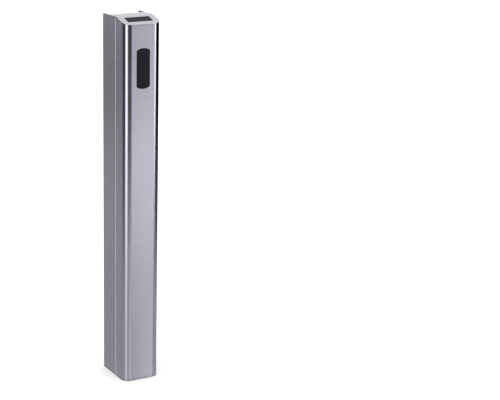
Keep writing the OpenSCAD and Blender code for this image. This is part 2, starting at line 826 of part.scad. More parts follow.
// Circuit breaker with the slot for its lever and the lever's bore
module circuit_breaker() {
    rear = plate_y - rail35_d;
    nose_h = 44;
    mid = breaker_x + breaker_w / 2;
    color([0.82, 0.82, 0.80]) in_place() difference() {
        side_view(breaker_x, breaker_x + breaker_w) polygon([
            [rear, rail35_z - breaker_h / 2], [breaker_y + 12, rail35_z - breaker_h / 2],
            [breaker_y + 12, rail35_z - nose_h / 2], [breaker_y, rail35_z - nose_h / 2],
            [breaker_y, rail35_z + nose_h / 2], [breaker_y + 12, rail35_z + nose_h / 2],
            [breaker_y + 12, rail35_z + breaker_h / 2], [rear, rail35_z + breaker_h / 2]]);
        translate([mid - lever_slot_w / 2, breaker_y - EPS, rail35_z - lever_slot_h / 2])
            cube([lever_slot_w, lever_r + 6 + EPS, lever_slot_h]);
        translate([breaker_x + 2, lever_y, rail35_z]) rotate([0, 90, 0])
            cylinder(r = 1 + BORE_GAP, h = breaker_w - 4);
    }
}

// Rocking lever of the circuit breaker, switched on
module breaker_lever() {
    mid = breaker_x + breaker_w / 2;
    arm = 12;
    width = lever_slot_w - 2 * TOUCH_GAP;
    color([0.1, 0.25, 0.55]) in_place() translate([mid, lever_y, rail35_z]) {
        translate([-width / 2, 0, 0]) rotate([0, 90, 0]) cylinder(r = lever_r, h = width);
        translate([-breaker_w / 2 + 2.5, 0, 0]) rotate([0, 90, 0]) cylinder(r = 1, h = breaker_w - 5);
        rotate([-lever_deg, 0, 0]) translate([-width / 2, -arm, -1.5]) cube([width, arm, 3]);
    }
}

// Wires from the terminal blocks up to the power supply
module supply_wires() {
    wire_y = plate_y - rail35_d - block_d / 2;
    z0 = rail35_z + block_h / 2;
    color([0.45, 0.2, 0.1]) in_place() for (i = [1:3])
        translate([block_x0 + i * block_pitch + block_w / 2, wire_y, z0])
            cylinder(r = wire_r, h = psu_z0 - z0);
}

// Wires from the power supply up to the control board
module board_wires() {
    z0 = psu_z0 + psu_h;
    color([0.5, 0.05, 0.05]) in_place() for (x = [-4, 4])
        translate([x, lead_y, z0]) cylinder(r = wire_r, h = board_z0 + 1 - z0);
}

// Lead from the control board up to the scanner's shelf
module scanner_lead() {
    z0 = board_z1 - 1;
    color([0.12, 0.12, 0.13]) in_place() {
        translate([12, lead_y, z0]) cylinder(r = lead_r, h = shelf_z - frame_t - z0);
        translate([12, lead_y, shelf_z - frame_t - 14]) cylinder(r = 5, h = 14);
    }
}

// Clip that holds the scanner's lead on the plate
module lead_clip() {
    z = plate_z1 - 12;
    ring = 1.5;
    color("white") in_place() difference() {
        union() {
            translate([12, lead_y, z]) cylinder(r = lead_r + ring, h = 6);
            translate([11, lead_y, z]) cube([2, plate_y - lead_y, 6]);
            translate([7, plate_y - 1.5, z - 3]) cube([10, 1.5, 12]);
        }
        translate([12, lead_y, z - EPS]) cylinder(r = lead_r + HOLE_GAP, h = 6 + 2 * EPS);
    }
}

// Earth stud with its washer and nut
module earth_stud() {
    color(polished) in_place() {
        rod_y(0, plate_y - 12, earth_z, 3, 12 + frame_t);
        translate([0, plate_y + frame_t, earth_z]) rotate([-90, 0, 0]) cylinder(r = 5.8, h = 4, $fn = 6);
        difference() {
            rod_y(0, plate_y - 1.5, earth_z, 6.5, 1.5);
            rod_y(0, plate_y - 1.5 - EPS, earth_z, 3 + HOLE_GAP, 1.5 + 2 * EPS);
        }
        difference() {
            translate([0, plate_y - 6.5, earth_z]) rotate([-90, 0, 0]) cylinder(r = 5.8, h = 5, $fn = 6);
            rod_y(0, plate_y - 6.5 - EPS, earth_z, 3 + HOLE_GAP, 5 + 2 * EPS);
        }
    }
}

// ---- Tamper switch -------------------------------------------------------------------------

// Switch behind the right rail that tells when the cover is taken off
module tamper_switch() {
    height = 24;
    width = wall_x - frame_t - fit_x;
    color(plastic_black) in_place() difference() {
        translate([fit_x - width, rail_y + frame_t, tamper_z - height / 2])
            cube([2 * width, tamper_body_d, height]);
        rod_y(fit_x, rail_y + frame_t - EPS, tamper_z, plunger_r + BORE_GAP, tamper_body_d - 4 + EPS);
    }
}

// Sprung plunger that the cover's flange holds in
module tamper_plunger() {
    front = cover_d + TOUCH_GAP;
    color("firebrick") in_place() {
        rod_y(fit_x, front + 1, tamper_z, plunger_r, rail_y + frame_t + 12 - front - 1);
        translate([fit_x, front, tamper_z]) rotate([-90, 0, 0]) cylinder(r1 = 1.2, r2 = plunger_r, h = 1);
    }
}

// ---- Scanner -------------------------------------------------------------------------------

// Places a shape in the scanner's own frame: origin on the tilt axis, +Z towards the window
module in_scanner() {
    in_place() translate([0, piv_y, piv_z]) rotate([slope_deg, 0, 0]) children();
}

// Shelf with two ears that carries the scanner, bolted to the web
module scanner_bracket() {
    ear_l = 16;
    color(zinc) in_place() difference() {
        union() {
            translate([-shelf_x, shelf_y, shelf_z - frame_t])
                cube([2 * shelf_x, web_front - shelf_y, frame_t]);
            translate([-shelf_x, web_front - frame_t, shelf_z - bracket_drop])
                cube([2 * shelf_x, frame_t, bracket_drop]);
            for (side = [0, 1]) mirror([side, 0, 0])
                translate([ear_x, piv_y - ear_l / 2, shelf_z - FUSE])
                    cube([frame_t, ear_l, piv_z + 7 - shelf_z + FUSE]);
        }
        for (x = [-1, 1])
            rod_y(x * bracket_screw_x, web_front - frame_t - EPS, bracket_screw_z, 2 + HOLE_GAP,
                frame_t + 2 * EPS);
        translate([-shelf_x, piv_y, piv_z]) rotate([0, 90, 0])
            cylinder(r = pivot_r + HOLE_GAP, h = 2 * shelf_x);
    }
}

// Screws that hold the bracket on the web
module bracket_screws() {
    head = web_front - frame_t;
    color(polished) in_place() for (x = [-1, 1]) {
        rod_y(x * bracket_screw_x, head - FUSE, bracket_screw_z, 2, 2 * frame_t + FUSE);
        rod_y(x * bracket_screw_x, head - 2.4, bracket_screw_z, 3.8, 2.4);
    }
}

// Shoulder screws through the ears that the scanner tilts on
module scanner_pivots() {
    color(polished) in_place() for (side = [0, 1]) mirror([side, 0, 0])
        translate([0, piv_y, piv_z]) rotate([0, 90, 0]) {
            translate([0, 0, scan_w / 2 - scan_wall]) cylinder(r = pivot_r, h = ear_x + frame_t - scan_w / 2
                + scan_wall + FUSE);
            translate([0, 0, ear_x + frame_t]) cylinder(r = pivot_r + 2, h = 3);
        }
}

// Scanner's case, open below, with a bossed bore in each end wall
module scanner_housing() {
    boss_x = ear_x - TOUCH_GAP;
    color([0.10, 0.10, 0.11]) in_scanner() difference() {
        union() {
            slab(scan_w, scan_l, -scan_h / 2 + scan_wall, scan_h / 2);
            translate([-boss_x, 0, 0]) rotate([0, 90, 0]) cylinder(r = pivot_r + 3, h = 2 * boss_x);
        }
        slab(scan_w - 2 * scan_wall, scan_l - 2 * scan_wall, -scan_h, scan_h / 2 - 3);
        slab(scan_w - 18, scan_l - 14, 0, scan_h);
        slab(scan_w - 12, scan_l - 8, scan_h / 2 - 1.5, scan_h);
        translate([-boss_x - EPS, 0, 0]) rotate([0, 90, 0])
            cylinder(r = pivot_r + BORE_GAP, h = 2 * boss_x + 2 * EPS);
    }
}

// Glass set into the top of the scanner's case
module scanner_glass() {
    color([0.25, 0.02, 0.03]) in_scanner()
        slab(scan_w - 12.4, scan_l - 8.4, scan_h / 2 - 1.5, scan_h / 2 - 0.2);
}

// Camera barrel on the scanner's board
module scanner_lens() {
    color([0.05, 0.05, 0.06]) in_scanner() translate([0, 0, scan_board_z + board_t]) difference() {
        union() {
            cylinder(r = 7, h = 5);
            cylinder(r = 5.5, h = 11);
        }
        translate([0, 0, 9.5]) cylinder(r1 = 3, r2 = 4.5, h = 2);
    }
}

// Lamp chips on both sides of the camera
module scanner_leds() {
    color("ivory") in_scanner() for (x = [-24, -16, 16, 24]) for (y = [-6, 6])
        translate([x, y, 0]) slab(4, 4, scan_board_z + board_t, scan_board_z + board_t + 2);
}

// Scanner's circuit board
module scanner_board() {
    color(board_green) in_scanner() slab(scan_w - 2 * scan_wall - 1, scan_l - 2 * scan_wall - 1,
        scan_board_z, scan_board_z + board_t);
}

// Lid under the scanner's case with four posts that carry its board
module scanner_rear_cover() {
    color([0.16, 0.16, 0.17]) in_scanner() {
        slab(scan_w, scan_l, -scan_h / 2, -scan_h / 2 + scan_wall);
        for (x = [-1, 1]) for (y = [-1, 1])
            translate([x * (scan_w / 2 - scan_wall - 5), y * (scan_l / 2 - scan_wall - 5),
                -scan_h / 2 + scan_wall - FUSE])
                cylinder(r = 2.5, h = scan_board_z + scan_h / 2 - scan_wall + FUSE);
    }
}

// Socket for the scanner's lead
module scanner_socket() {
    color([0.8, 0.8, 0.78]) in_scanner() difference() {
        slab(16, 8, -scan_h / 2 - 5, -scan_h / 2);
        slab(13, 5, -scan_h / 2 - 5 - EPS, -scan_h / 2 - 1.5);
    }
}

front_cover();
top_cap();
window_gasket();
window_pane();
window_clamp();
window_nuts();
display_lens();
display_gasket();
display_mask();
display_diffuser();
display_housing();
led_board();
display_leds();
display_studs();
display_nuts();
cover_stiffeners();
cover_pegs();
striker_plates();
base_plate();
base_gussets();
left_side_panel();
right_side_panel();
left_seam_strip();
right_seam_strip();
left_rail();
right_rail();
left_gasket();
right_gasket();
guide_bushes();
catch_magnets();
mounting_web();
cable_grommets();
equipment_plate();
plate_spacers();
plate_screws();
control_board();
board_parts();
board_standoffs();
power_supply();
din_rail();
terminal_blocks();
circuit_breaker();
breaker_lever();
supply_wires();
board_wires();
scanner_lead();
lead_clip();
earth_stud();
scanner_bracket();
bracket_screws();
scanner_pivots();
tamper_switch();
tamper_plunger();
scanner_housing();
scanner_glass();
scanner_lens();
scanner_leds();
scanner_board();
scanner_rear_cover();
scanner_socket();
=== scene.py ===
"""Looks of a slim stainless-steel ticket reader column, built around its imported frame.

Sizes in the classes are millimetres. X runs across the front, +Y to the back and +Z up, as in
the frame. A depth counts from the front face, and a height from the floor.
"""

import logging
import math
from collections.abc import Callable, Iterator
from contextlib import contextmanager
from dataclasses import dataclass, field
from enum import Enum
from functools import lru_cache

import bmesh
import bpy
from mathutils import Matrix, Vector


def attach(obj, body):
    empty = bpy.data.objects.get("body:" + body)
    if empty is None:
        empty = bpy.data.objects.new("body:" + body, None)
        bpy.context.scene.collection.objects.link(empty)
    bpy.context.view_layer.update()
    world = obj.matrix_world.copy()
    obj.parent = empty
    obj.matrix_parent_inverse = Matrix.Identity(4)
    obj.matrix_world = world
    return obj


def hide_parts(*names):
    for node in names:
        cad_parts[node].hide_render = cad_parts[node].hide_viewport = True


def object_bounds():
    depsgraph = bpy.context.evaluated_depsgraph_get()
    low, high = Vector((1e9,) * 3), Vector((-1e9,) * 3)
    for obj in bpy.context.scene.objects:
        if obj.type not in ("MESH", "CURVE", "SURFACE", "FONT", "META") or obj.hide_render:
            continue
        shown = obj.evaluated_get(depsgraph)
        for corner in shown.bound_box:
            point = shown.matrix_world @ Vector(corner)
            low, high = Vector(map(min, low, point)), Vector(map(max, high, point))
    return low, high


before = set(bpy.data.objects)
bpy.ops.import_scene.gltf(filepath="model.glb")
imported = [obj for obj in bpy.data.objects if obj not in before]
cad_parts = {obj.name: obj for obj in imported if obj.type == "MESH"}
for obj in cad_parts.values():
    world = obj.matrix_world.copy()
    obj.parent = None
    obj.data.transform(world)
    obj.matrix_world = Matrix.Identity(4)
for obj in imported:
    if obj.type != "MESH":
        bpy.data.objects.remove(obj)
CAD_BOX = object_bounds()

LOG = logging.getLogger("column")
MM = 0.001
FLAT = math.radians(0.5)  # faces that turn by less are one face
JOIN = 0.003  # points nearer than this, in millimetres, are one point
EMPTY = 0.002  # edges shorter than this, in millimetres, are dropped
Point = tuple[float, float]
Triple = tuple[float, float, float]
Colour = Triple
Piece = bpy.types.Object
Socket = bpy.types.NodeSocket


# ---- Solids ------------------------------------------------------------------------------------


class Along(Enum):
    """Axis that an outline is drawn out along, with the axes that its two numbers stand for."""

    X = (1, 2, 0)
    Y = (0, 2, 1)
    Z = (0, 1, 2)


class Cut(Enum):
    """What a boolean keeps of two solids."""

    TAKE_AWAY = "DIFFERENCE"
    ADD = "UNION"
    KEEP_COMMON = "INTERSECT"


def arc(centre: Point, radius: float, start_deg: float, end_deg: float, steps: int) -> list[Point]:
    """Points along a round stretch of an outline.

    Args:
        centre: middle of the arc.
        radius: its radius.
        start_deg: angle of the first point, counted from the outline's first axis.
        end_deg: angle of the last point.
        steps: number of straight pieces.

    Returns:
        The points, both ends included.
    """
    turns = [math.radians(start_deg + (end_deg - start_deg) * i / steps) for i in range(steps + 1)]
    return [(centre[0] + radius * math.cos(t), centre[1] + radius * math.sin(t)) for t in turns]


def rectangle(low: Point, high: Point) -> list[Point]:
    """Outline of a rectangle between two opposite corners."""
    return [low, (high[0], low[1]), high, (low[0], high[1])]


def mirrored(outline: list[Point]) -> list[Point]:
    """The outline seen from the other side, with its first numbers turned round."""
    return [(-a, b) for a, b in reversed(outline)]


def drop_idle_points(shape: bmesh.types.BMesh) -> None:
    """Drops points that lie in the middle of one edge."""
    idle = [vert for vert in shape.verts if len(vert.link_edges) == 2]
    bmesh.ops.dissolve_verts(shape, verts=idle)


class Solid:
    """A closed mesh in millimetres that is carved into a piece."""

    def __init__(self, mesh: bpy.types.Mesh) -> None:
        """Holds the mesh in an object of its own.

        Args:
            mesh: closed mesh, in millimetres.
        """
        self.holder = bpy.data.objects.new("solid", mesh)
        bpy.context.scene.collection.objects.link(self.holder)

    @classmethod
    def prism(cls, outline: list[Point], along: Along, low: float, high: float) -> "Solid":
        """Draws an outline out to a solid.

        Args:
            outline: corners of the outline, in order.
            along: axis that it is drawn out along.
            low: place of one end on that axis.
            high: place of the other end.

        Returns:
            The closed solid.
        """
        first, second, third = along.value
        shape = bmesh.new()
        rings = []
        for level in (low, high):
            ring = []
            for a, b in outline:
                place = [0.0, 0.0, 0.0]
                place[first], place[second], place[third] = a, b, level
                ring.append(shape.verts.new(place))
            rings.append(ring)
        count = len(outline)
        shape.faces.new(rings[0])
        shape.faces.new(rings[1])
        for i in range(count):
            j = (i + 1) % count
            shape.faces.new((rings[0][i], rings[0][j], rings[1][j], rings[1][i]))
        return cls._from_bmesh(shape)

    @classmethod
    def rod(cls, centre: Triple, radius: float, along: Along,
            length: float, steps: int = 32) -> "Solid":
        """Makes a round bar.

        Args:
            centre: middle of its first end.
            radius: its radius.
            along: axis that it lies along.
            length: its length towards the axis's far end.
            steps: number of faces round it.

        Returns:
            The closed solid.
        """
        first, second, third = along.value
        outline = arc((centre[first], centre[second]), radius, 0, 360, steps)[:-1]
        return cls.prism(outline, along, centre[third], centre[third] + length)

    @classmethod
    def turned(cls, profile: list[Point], centre: Triple, along: Along,
               steps: int = 32) -> "Solid":
        """Turns a profile round an axis, as on a lathe.

        Args:
            profile: places along the axis with their radii, from one end to the other.
            centre: point of the axis that the places count from.
            along: direction of the axis.
            steps: number of faces round it.

        Returns:
            The closed solid.
        """
        first, second, third = along.value
        shape = bmesh.new()
        rings = []
        for place, radius in profile:
            ring = []
            for i in range(steps):
                turn = math.tau * i / steps
                spot = list(centre)
                spot[first] += radius * math.cos(turn)
                spot[second] += radius * math.sin(turn)
                spot[third] += place
                ring.append(shape.verts.new(spot))
            rings.append(ring)
        for low, high in zip(rings, rings[1:]):
            for i in range(steps):
                j = (i + 1) % steps
                shape.faces.new((low[i], low[j], high[j], high[i]))
        shape.faces.new(rings[0])
        shape.faces.new(rings[-1])
        return cls._from_bmesh(shape)

    @classmethod
    def of_node(cls, node: str) -> "Solid":
        """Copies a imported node, with its flat areas joined to whole faces.

        Args:
            node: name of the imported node.

        Returns:
            The copy, in millimetres.
        """
        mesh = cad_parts[node].data.copy()
        mesh.materials.clear()
        shape = bmesh.new()
        shape.from_mesh(mesh)
        bpy.data.meshes.remove(mesh)
        bmesh.ops.transform(shape, matrix=Matrix.Scale(1 / MM, 4), verts=shape.verts)
        bmesh.ops.remove_doubles(shape, verts=shape.verts, dist=EMPTY)
        bmesh.ops.dissolve_limit(shape, angle_limit=FLAT, verts=shape.verts, edges=shape.edges)
        return cls._from_bmesh(shape)

    @classmethod
    def _from_bmesh(cls, shape: bmesh.types.BMesh) -> "Solid":
        """Turns a working mesh into a solid with its faces looking outwards.

        Args:
            shape: the working mesh, which is used up.

        Returns:
            The solid.
        """
        bmesh.ops.recalc_face_normals(shape, faces=shape.faces)
        mesh = bpy.data.meshes.new("solid")
        shape.to_mesh(mesh)
        shape.free()
        return cls(mesh)

    def placed(self, matrix: Matrix) -> "Solid":
        """Moves the solid by a matrix in millimetres."""
        self.holder.data.transform(matrix)
        return self

    def shape_with(self, other: "Solid", cut: Cut) -> "Solid":
        """Combines this solid with another one, which is used up.

        Args:
            other: the tool or the addition.
            cut: what is kept.

        Returns:
            This solid.
        """
        modifier = self.holder.modifiers.new("shape", "BOOLEAN")
        modifier.operation = cut.value
        modifier.solver = "EXACT"
        modifier.object = other.holder
        self._settle()
        bpy.data.objects.remove(other.holder)
        return self

    def minus(self, *tools: "Solid") -> "Solid":
        """Takes each tool away from the solid.

        Args:
            tools: closed solids, which are used up.

        Returns:
            This solid.
        """
        for tool in tools:
            self.shape_with(tool, Cut.TAKE_AWAY)
        return self

    def plus(self, *others: "Solid") -> "Solid":
        """Joins each of the other solids to this one.

        Args:
            others: closed solids that touch this one, which are used up.

        Returns:
            This solid.
        """
        for other in others:
            self.shape_with(other, Cut.ADD)
        return self

    @classmethod
    def row(cls, solids: list["Solid"]) -> "Solid":
        """Takes solids that stand clear of each other together.

        Args:
            solids: the solids, of which all but the first are used up.

        Returns:
            The first of them, with the others in it.
        """
        with solids[0]._opened() as shape:
            for other in solids[1:]:
                shape.from_mesh(other.holder.data)
                bpy.data.objects.remove(other.holder)
        return solids[0]

    def eased(self, width: float, steps: int = 2, over_deg: float = 38.0) -> "Solid":
        """Rounds the sharp edges, and gives the rounded strips the second finish.

        Args:
            width: width of the rounding.
            steps: number of faces across it.
            over_deg: edges that turn by less than this stay.

        Returns:
            This solid.
        """
        self._flatten()
        modifier = self.holder.modifiers.new("ease", "BEVEL")
        modifier.width = width
        modifier.segments = steps
        modifier.limit_method = "ANGLE"
        modifier.angle_limit = math.radians(over_deg)
        modifier.material = 1
        self.holder.data.materials.append(None)
        self.holder.data.materials.append(None)
        self._settle()
        self._weld()
        return self

    @contextmanager
    def _opened(self) -> Iterator[bmesh.types.BMesh]:
        """Opens the solid's mesh for work, and puts the result back.

        Yields:
            The working mesh.
        """
        shape = bmesh.new()
        shape.from_mesh(self.holder.data)
        yield shape
        shape.to_mesh(self.holder.data)
        shape.free()

    def _flatten(self) -> None:
        """Makes whole faces of flat areas, and drops points in the middle of straight edges."""
        with self._opened() as shape:
            bmesh.ops.remove_doubles(shape, verts=shape.verts, dist=JOIN)
            drop_idle_points(shape)
            bmesh.ops.dissolve_limit(shape, angle_limit=FLAT, verts=shape.verts,
                                     edges=shape.edges)

    def _weld(self) -> None:
        """Joins points that lie on each other, and drops the empty faces between them."""
        with self._opened() as shape:
            bmesh.ops.remove_doubles(shape, verts=shape.verts, dist=JOIN)
            bmesh.ops.dissolve_degenerate(shape, dist=EMPTY, edges=shape.edges)
            drop_idle_points(shape)

    def paint_shade_on(self, picks: Callable[[Vector, Vector], bool]) -> "Solid":
        """Gives some faces the third finish, a darker steel that is painted shade.

        Args:
            picks: tells from a face's middle and its normal whether it is one of them.

        Returns:
            This solid.
        """
        self.holder.data.materials.append(None)
        for face in self.holder.data.polygons:
            if face.material_index == 0 and picks(face.center, face.normal):
                face.material_index = 2
        return self

    def _settle(self) -> None:
        """Works the modifiers into the mesh."""
        view = bpy.context.evaluated_depsgraph_get()
        mesh = bpy.data.meshes.new_from_object(self.holder.evaluated_get(view))
        old = self.holder.data
        self.holder.modifiers.clear()
        self.holder.data = mesh
        bpy.data.meshes.remove(old)

    def piece(self, name: str, body: str, finish: "Finish", nodes: tuple[str, ...] = (),
              rim: "Finish | None" = None, painted_shade: "Finish | None" = None) -> Piece:
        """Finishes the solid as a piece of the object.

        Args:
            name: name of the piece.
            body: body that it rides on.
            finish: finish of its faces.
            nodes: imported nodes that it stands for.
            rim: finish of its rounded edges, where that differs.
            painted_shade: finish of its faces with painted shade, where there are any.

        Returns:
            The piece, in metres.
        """
        piece = self.holder
        piece.name = name
        mesh = piece.data
        mesh.name = name
        mesh.transform(Matrix.Scale(MM, 4))
        mesh.materials.clear()
        mesh.materials.append(material_of(finish))
        mesh.materials.append(material_of(rim or finish))
        if painted_shade:
            mesh.materials.append(material_of(painted_shade))
        mesh.shade_smooth()
        mesh.set_sharp_from_angle(angle=math.radians(32))
        weighted = piece.modifiers.new("normals", "WEIGHTED_NORMAL")
        weighted.keep_sharp = True
        weighted.weight = 80
        self._settle()
        piece.data.name = name
        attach(piece, body)
        if nodes:
            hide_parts(*nodes)
        LOG.info("%s: %d faces on %s", name, len(piece.data.polygons), body)
        return piece


# ---- Finishes ----------------------------------------------------------------------------------


class Sheet:
    """Node tree of one material, with short calls that add and join its nodes."""

    def __init__(self, name: str) -> None:
        """Starts a material with its main shader.

        Args:
            name: name of the material.
        """
        self.material = bpy.data.materials.new(name)
        self.material.use_nodes = True
        self.tree = self.material.node_tree
        self.shader = self.tree.nodes["Principled BSDF"]
        self.place = self.add("ShaderNodeTexCoord").outputs["Object"]

    def add(self, kind: str, **settings: object) -> bpy.types.Node:
        """Adds a node.

        Args:
            kind: type of the node.
            settings: properties to set on it.

        Returns:
            The node.
        """
        node = self.tree.nodes.new(kind)
        for name, value in settings.items():
            setattr(node, name, value)
        return node

    def link(self, source: Socket, target: Socket) -> None:
        """Joins an output to an input."""
        self.tree.links.new(source, target)

    def fix(self, **values: object) -> None:
        """Sets sockets of the shader that are the same all over; _ stands for a space."""
        for name, value in values.items():
            self.shader.inputs[name.replace("_", " ")].default_value = value

    def stretched(self, per_metre: Triple) -> Socket:
        """Coordinates that stretch a pattern.

        Args:
            per_metre: number of pattern cells to the metre along X, Y and Z.

        Returns:
            The coordinates.
        """
        mapping = self.add("ShaderNodeMapping")
        mapping.inputs["Scale"].default_value = per_metre
        self.link(self.place, mapping.inputs["Vector"])
        return mapping.outputs["Vector"]

    def noise(self, per_metre: Triple, detail: float = 4.0,
              roughness: float = 0.55) -> Socket:
        """Cloudy pattern.

        Args:
            per_metre: number of clouds to the metre along X, Y and Z.
            detail: how many finer layers it has.
            roughness: how strong these are.

        Returns:
            A value around 0.5.
        """
        texture = self.add("ShaderNodeTexNoise")
        texture.inputs["Scale"].default_value = 1.0
        texture.inputs["Detail"].default_value = detail
        texture.inputs["Roughness"].default_value = roughness
        self.link(self.stretched(per_metre), texture.inputs["Vector"])
        return texture.outputs[0]

    def cells(self, per_metre: float, spread: float = 1.0,
              feature: str = "F1") -> bpy.types.Node:
        """Cell pattern.

        Args:
            per_metre: number of cells to the metre.
            spread: how far the cells stray from a grid, from 0 to 1.
            feature: kind of distance that the pattern gives.

        Returns:
            The pattern's node.
        """
        texture = self.add("ShaderNodeTexVoronoi", feature=feature)
        texture.inputs["Scale"].default_value = 1.0
        texture.inputs["Randomness"].default_value = spread
        self.link(self.stretched((per_metre,) * 3), texture.inputs["Vector"])
        return texture

    def between(self, value: Socket, low: float, high: float,
                start: float = 0.3, end: float = 0.7) -> Socket:
        """Spreads a value over another range.

        Args:
            value: the value.
            low: result where the value is at its start.
            high: result where it is at its end.
            start: one end of the value's own range.
            end: the other end.

        Returns:
            The result, kept between low and high.
        """
        spread = self.add("ShaderNodeMapRange")
        ends = {"From Min": start, "From Max": end, "To Min": low, "To Max": high}
        for name, number in ends.items():
            spread.inputs[name].default_value = number
        self.link(value, spread.inputs["Value"])
        return spread.outputs["Result"]

    def tone(self, share: Socket, dark: Colour,
             light: Colour) -> Socket:
        """Mixes two colours.

        Args:
            share: share of the second one, from 0 to 1.
            dark: the first colour.
            light: the second colour.

        Returns:
            The mixed colour.
        """
        mix = self.add("ShaderNodeMix", data_type="RGBA")
        mix.inputs[6].default_value = (*dark, 1)
        mix.inputs[7].default_value = (*light, 1)
        self.link(share, mix.inputs[0])
        return mix.outputs[2]

    def raise_by(self, height: Socket, depth: float, strength: float = 1.0) -> None:
        """Gives the surface a relief.

        Args:
            height: pattern of the relief.
            depth: metres from its lowest to its highest.
            strength: how strongly it shows.
        """
        bump = self.add("ShaderNodeBump")
        bump.inputs["Strength"].default_value = strength
        bump.inputs["Distance"].default_value = depth
        self.link(height, bump.inputs["Height"])
        self.link(bump.outputs["Normal"], self.shader.inputs["Normal"])

    def colour(self, source: Socket) -> None:
        """Joins a colour to the shader."""
        self.link(source, self.shader.inputs["Base Color"])

    def gloss(self, source: Socket) -> None:
        """Joins a roughness to the shader."""
        self.link(source, self.shader.inputs["Roughness"])


def shade(colour: Colour, share: float) -> Colour:
    """The colour made darker or lighter by a share."""
    return tuple(min(1.0, c * share) for c in colour)


@dataclass(frozen=True)
class Finish:
    """A surface finish: its name, the record's material slot and its colour."""

    name: str
    slot: str
    tint: Colour

    def paint(self, sheet: Sheet) -> None:
        """Sets the nodes of the finish."""
        raise NotImplementedError


class Grain(Enum):
    """Direction of the brush lines, as pattern cells to the metre along X, Y and Z."""

    LEVEL = (7.0, 7.0, 2600.0)
    ACROSS = (7.0, 2600.0, 60.0)


@dataclass(frozen=True)
class BrushedSteel(Finish):
    """Stainless steel with fine brush lines that draw its highlights out across them."""

    grain: Grain = Grain.LEVEL
    dull: float = 0.24
    stretch: float = 0.95

    def paint(self, sheet: Sheet) -> None:
        """Sets the nodes of the finish.

        Args:
            sheet: node tree of the new material.
        """
        lines = sheet.noise(self.grain.value, detail=3.0, roughness=0.7)
        coarse = sheet.noise(tuple(n / 6 for n in self.grain.value), detail=2.0)
        smudge = sheet.noise((9.0, 9.0, 4.0), detail=3.0)
        both = sheet.add("ShaderNodeMath", operation="ADD")
        sheet.link(lines, both.inputs[0])
        sheet.link(coarse, both.inputs[1])
        streak = sheet.between(both.outputs[0], 0.0, 1.0, 0.75, 1.25)
        sheet.colour(sheet.tone(streak, shade(self.tint, 0.93), shade(self.tint, 1.06)))
        sheet.gloss(sheet.between(smudge, self.dull - 0.03, self.dull + 0.04))
        sheet.raise_by(lines, 0.00002, 0.35)
        sheet.fix(Metallic=1.0, Anisotropic=self.stretch)
        level = self.grain is Grain.LEVEL
        axis = "Z" if level else "X"
        tangent = sheet.add("ShaderNodeTangent", direction_type="RADIAL", axis=axis)
        sheet.link(tangent.outputs[0], sheet.shader.inputs["Tangent"])
        if level:
            sheet.fix(Anisotropic_Rotation=0.25)


@dataclass(frozen=True)
class BrightMetal(Finish):
    """Polished, turned or plated metal with faint handling marks."""

    dull: float = 0.16
    marks: float = 60.0
    metal: float = 1.0

    def paint(self, sheet: Sheet) -> None:
        """Sets the nodes of the finish.

        Args:
            sheet: node tree of the new material.
        """
        marks = sheet.noise((self.marks, self.marks, self.marks * 3), detail=5.0)
        sheet.colour(sheet.tone(sheet.between(marks, 0.0, 1.0), shade(self.tint, 0.9), self.tint))
        sheet.gloss(sheet.between(marks, self.dull, self.dull + 0.09))
        sheet.fix(Metallic=self.metal)


@dataclass(frozen=True)
class ZincPlate(Finish):
    """Zinc-plated sheet with soft crystal patches."""

    crystal: float = 90.0

    def paint(self, sheet: Sheet) -> None:
        """Sets the nodes of the finish.

        Args:
            sheet: node tree of the new material.
        """
        patch = sheet.cells(self.crystal)
        cloud = sheet.noise((30.0, 30.0, 12.0), detail=4.0)
        split = sheet.add("ShaderNodeSeparateColor")
        sheet.link(patch.outputs["Color"], split.inputs[0])
        mixed = sheet.add("ShaderNodeMath", operation="MULTIPLY")
        sheet.link(split.outputs[0], mixed.inputs[0])
        sheet.link(cloud, mixed.inputs[1])
        level = sheet.between(mixed.outputs[0], 0.0, 1.0, 0.0, 0.6)
        sheet.colour(sheet.tone(level, shade(self.tint, 0.84), shade(self.tint, 1.05)))
        sheet.gloss(sheet.between(level, 0.34, 0.48, 0.0, 1.0))
        sheet.raise_by(cloud, 0.00005, 0.3)
        sheet.fix(Metallic=1.0)


@dataclass(frozen=True)
class Moulded(Finish):
    """Moulded plastic or rubber with a fine spark texture."""

    dull: float = 0.5
    texture: float = 1400.0
    depth: float = 0.00004

    def paint(self, sheet: Sheet) -> None:
        """Sets the nodes of the finish.

        Args:
            sheet: node tree of the new material.
        """
        spark = sheet.noise((self.texture,) * 3, detail=2.0)
        cloud = sheet.noise((25.0, 25.0, 25.0), detail=3.0)
        sheet.colour(sheet.tone(sheet.between(cloud, 0.0, 1.0), shade(self.tint, 0.86),
                                shade(self.tint, 1.1)))
        sheet.gloss(sheet.between(spark, self.dull - 0.06, self.dull + 0.08))
        sheet.raise_by(spark, self.depth, 0.5)


@dataclass(frozen=True)
class Glazing(Finish):
    """Smooth tinted glass or acrylic that lets a little light through."""

    clear: float = 0.5
    bend: float = 1.49

    def paint(self, sheet: Sheet) -> None:
        """Sets the nodes of the finish.

        Args:
            sheet: node tree of the new material.
        """
        film = sheet.noise((18.0, 18.0, 18.0), detail=4.0)
        sheet.colour(sheet.tone(sheet.between(film, 0.0, 1.0), shade(self.tint, 0.9),
                                shade(self.tint, 1.08)))
        sheet.gloss(sheet.between(film, 0.03, 0.07))
        sheet.fix(Transmission_Weight=self.clear, IOR=self.bend)


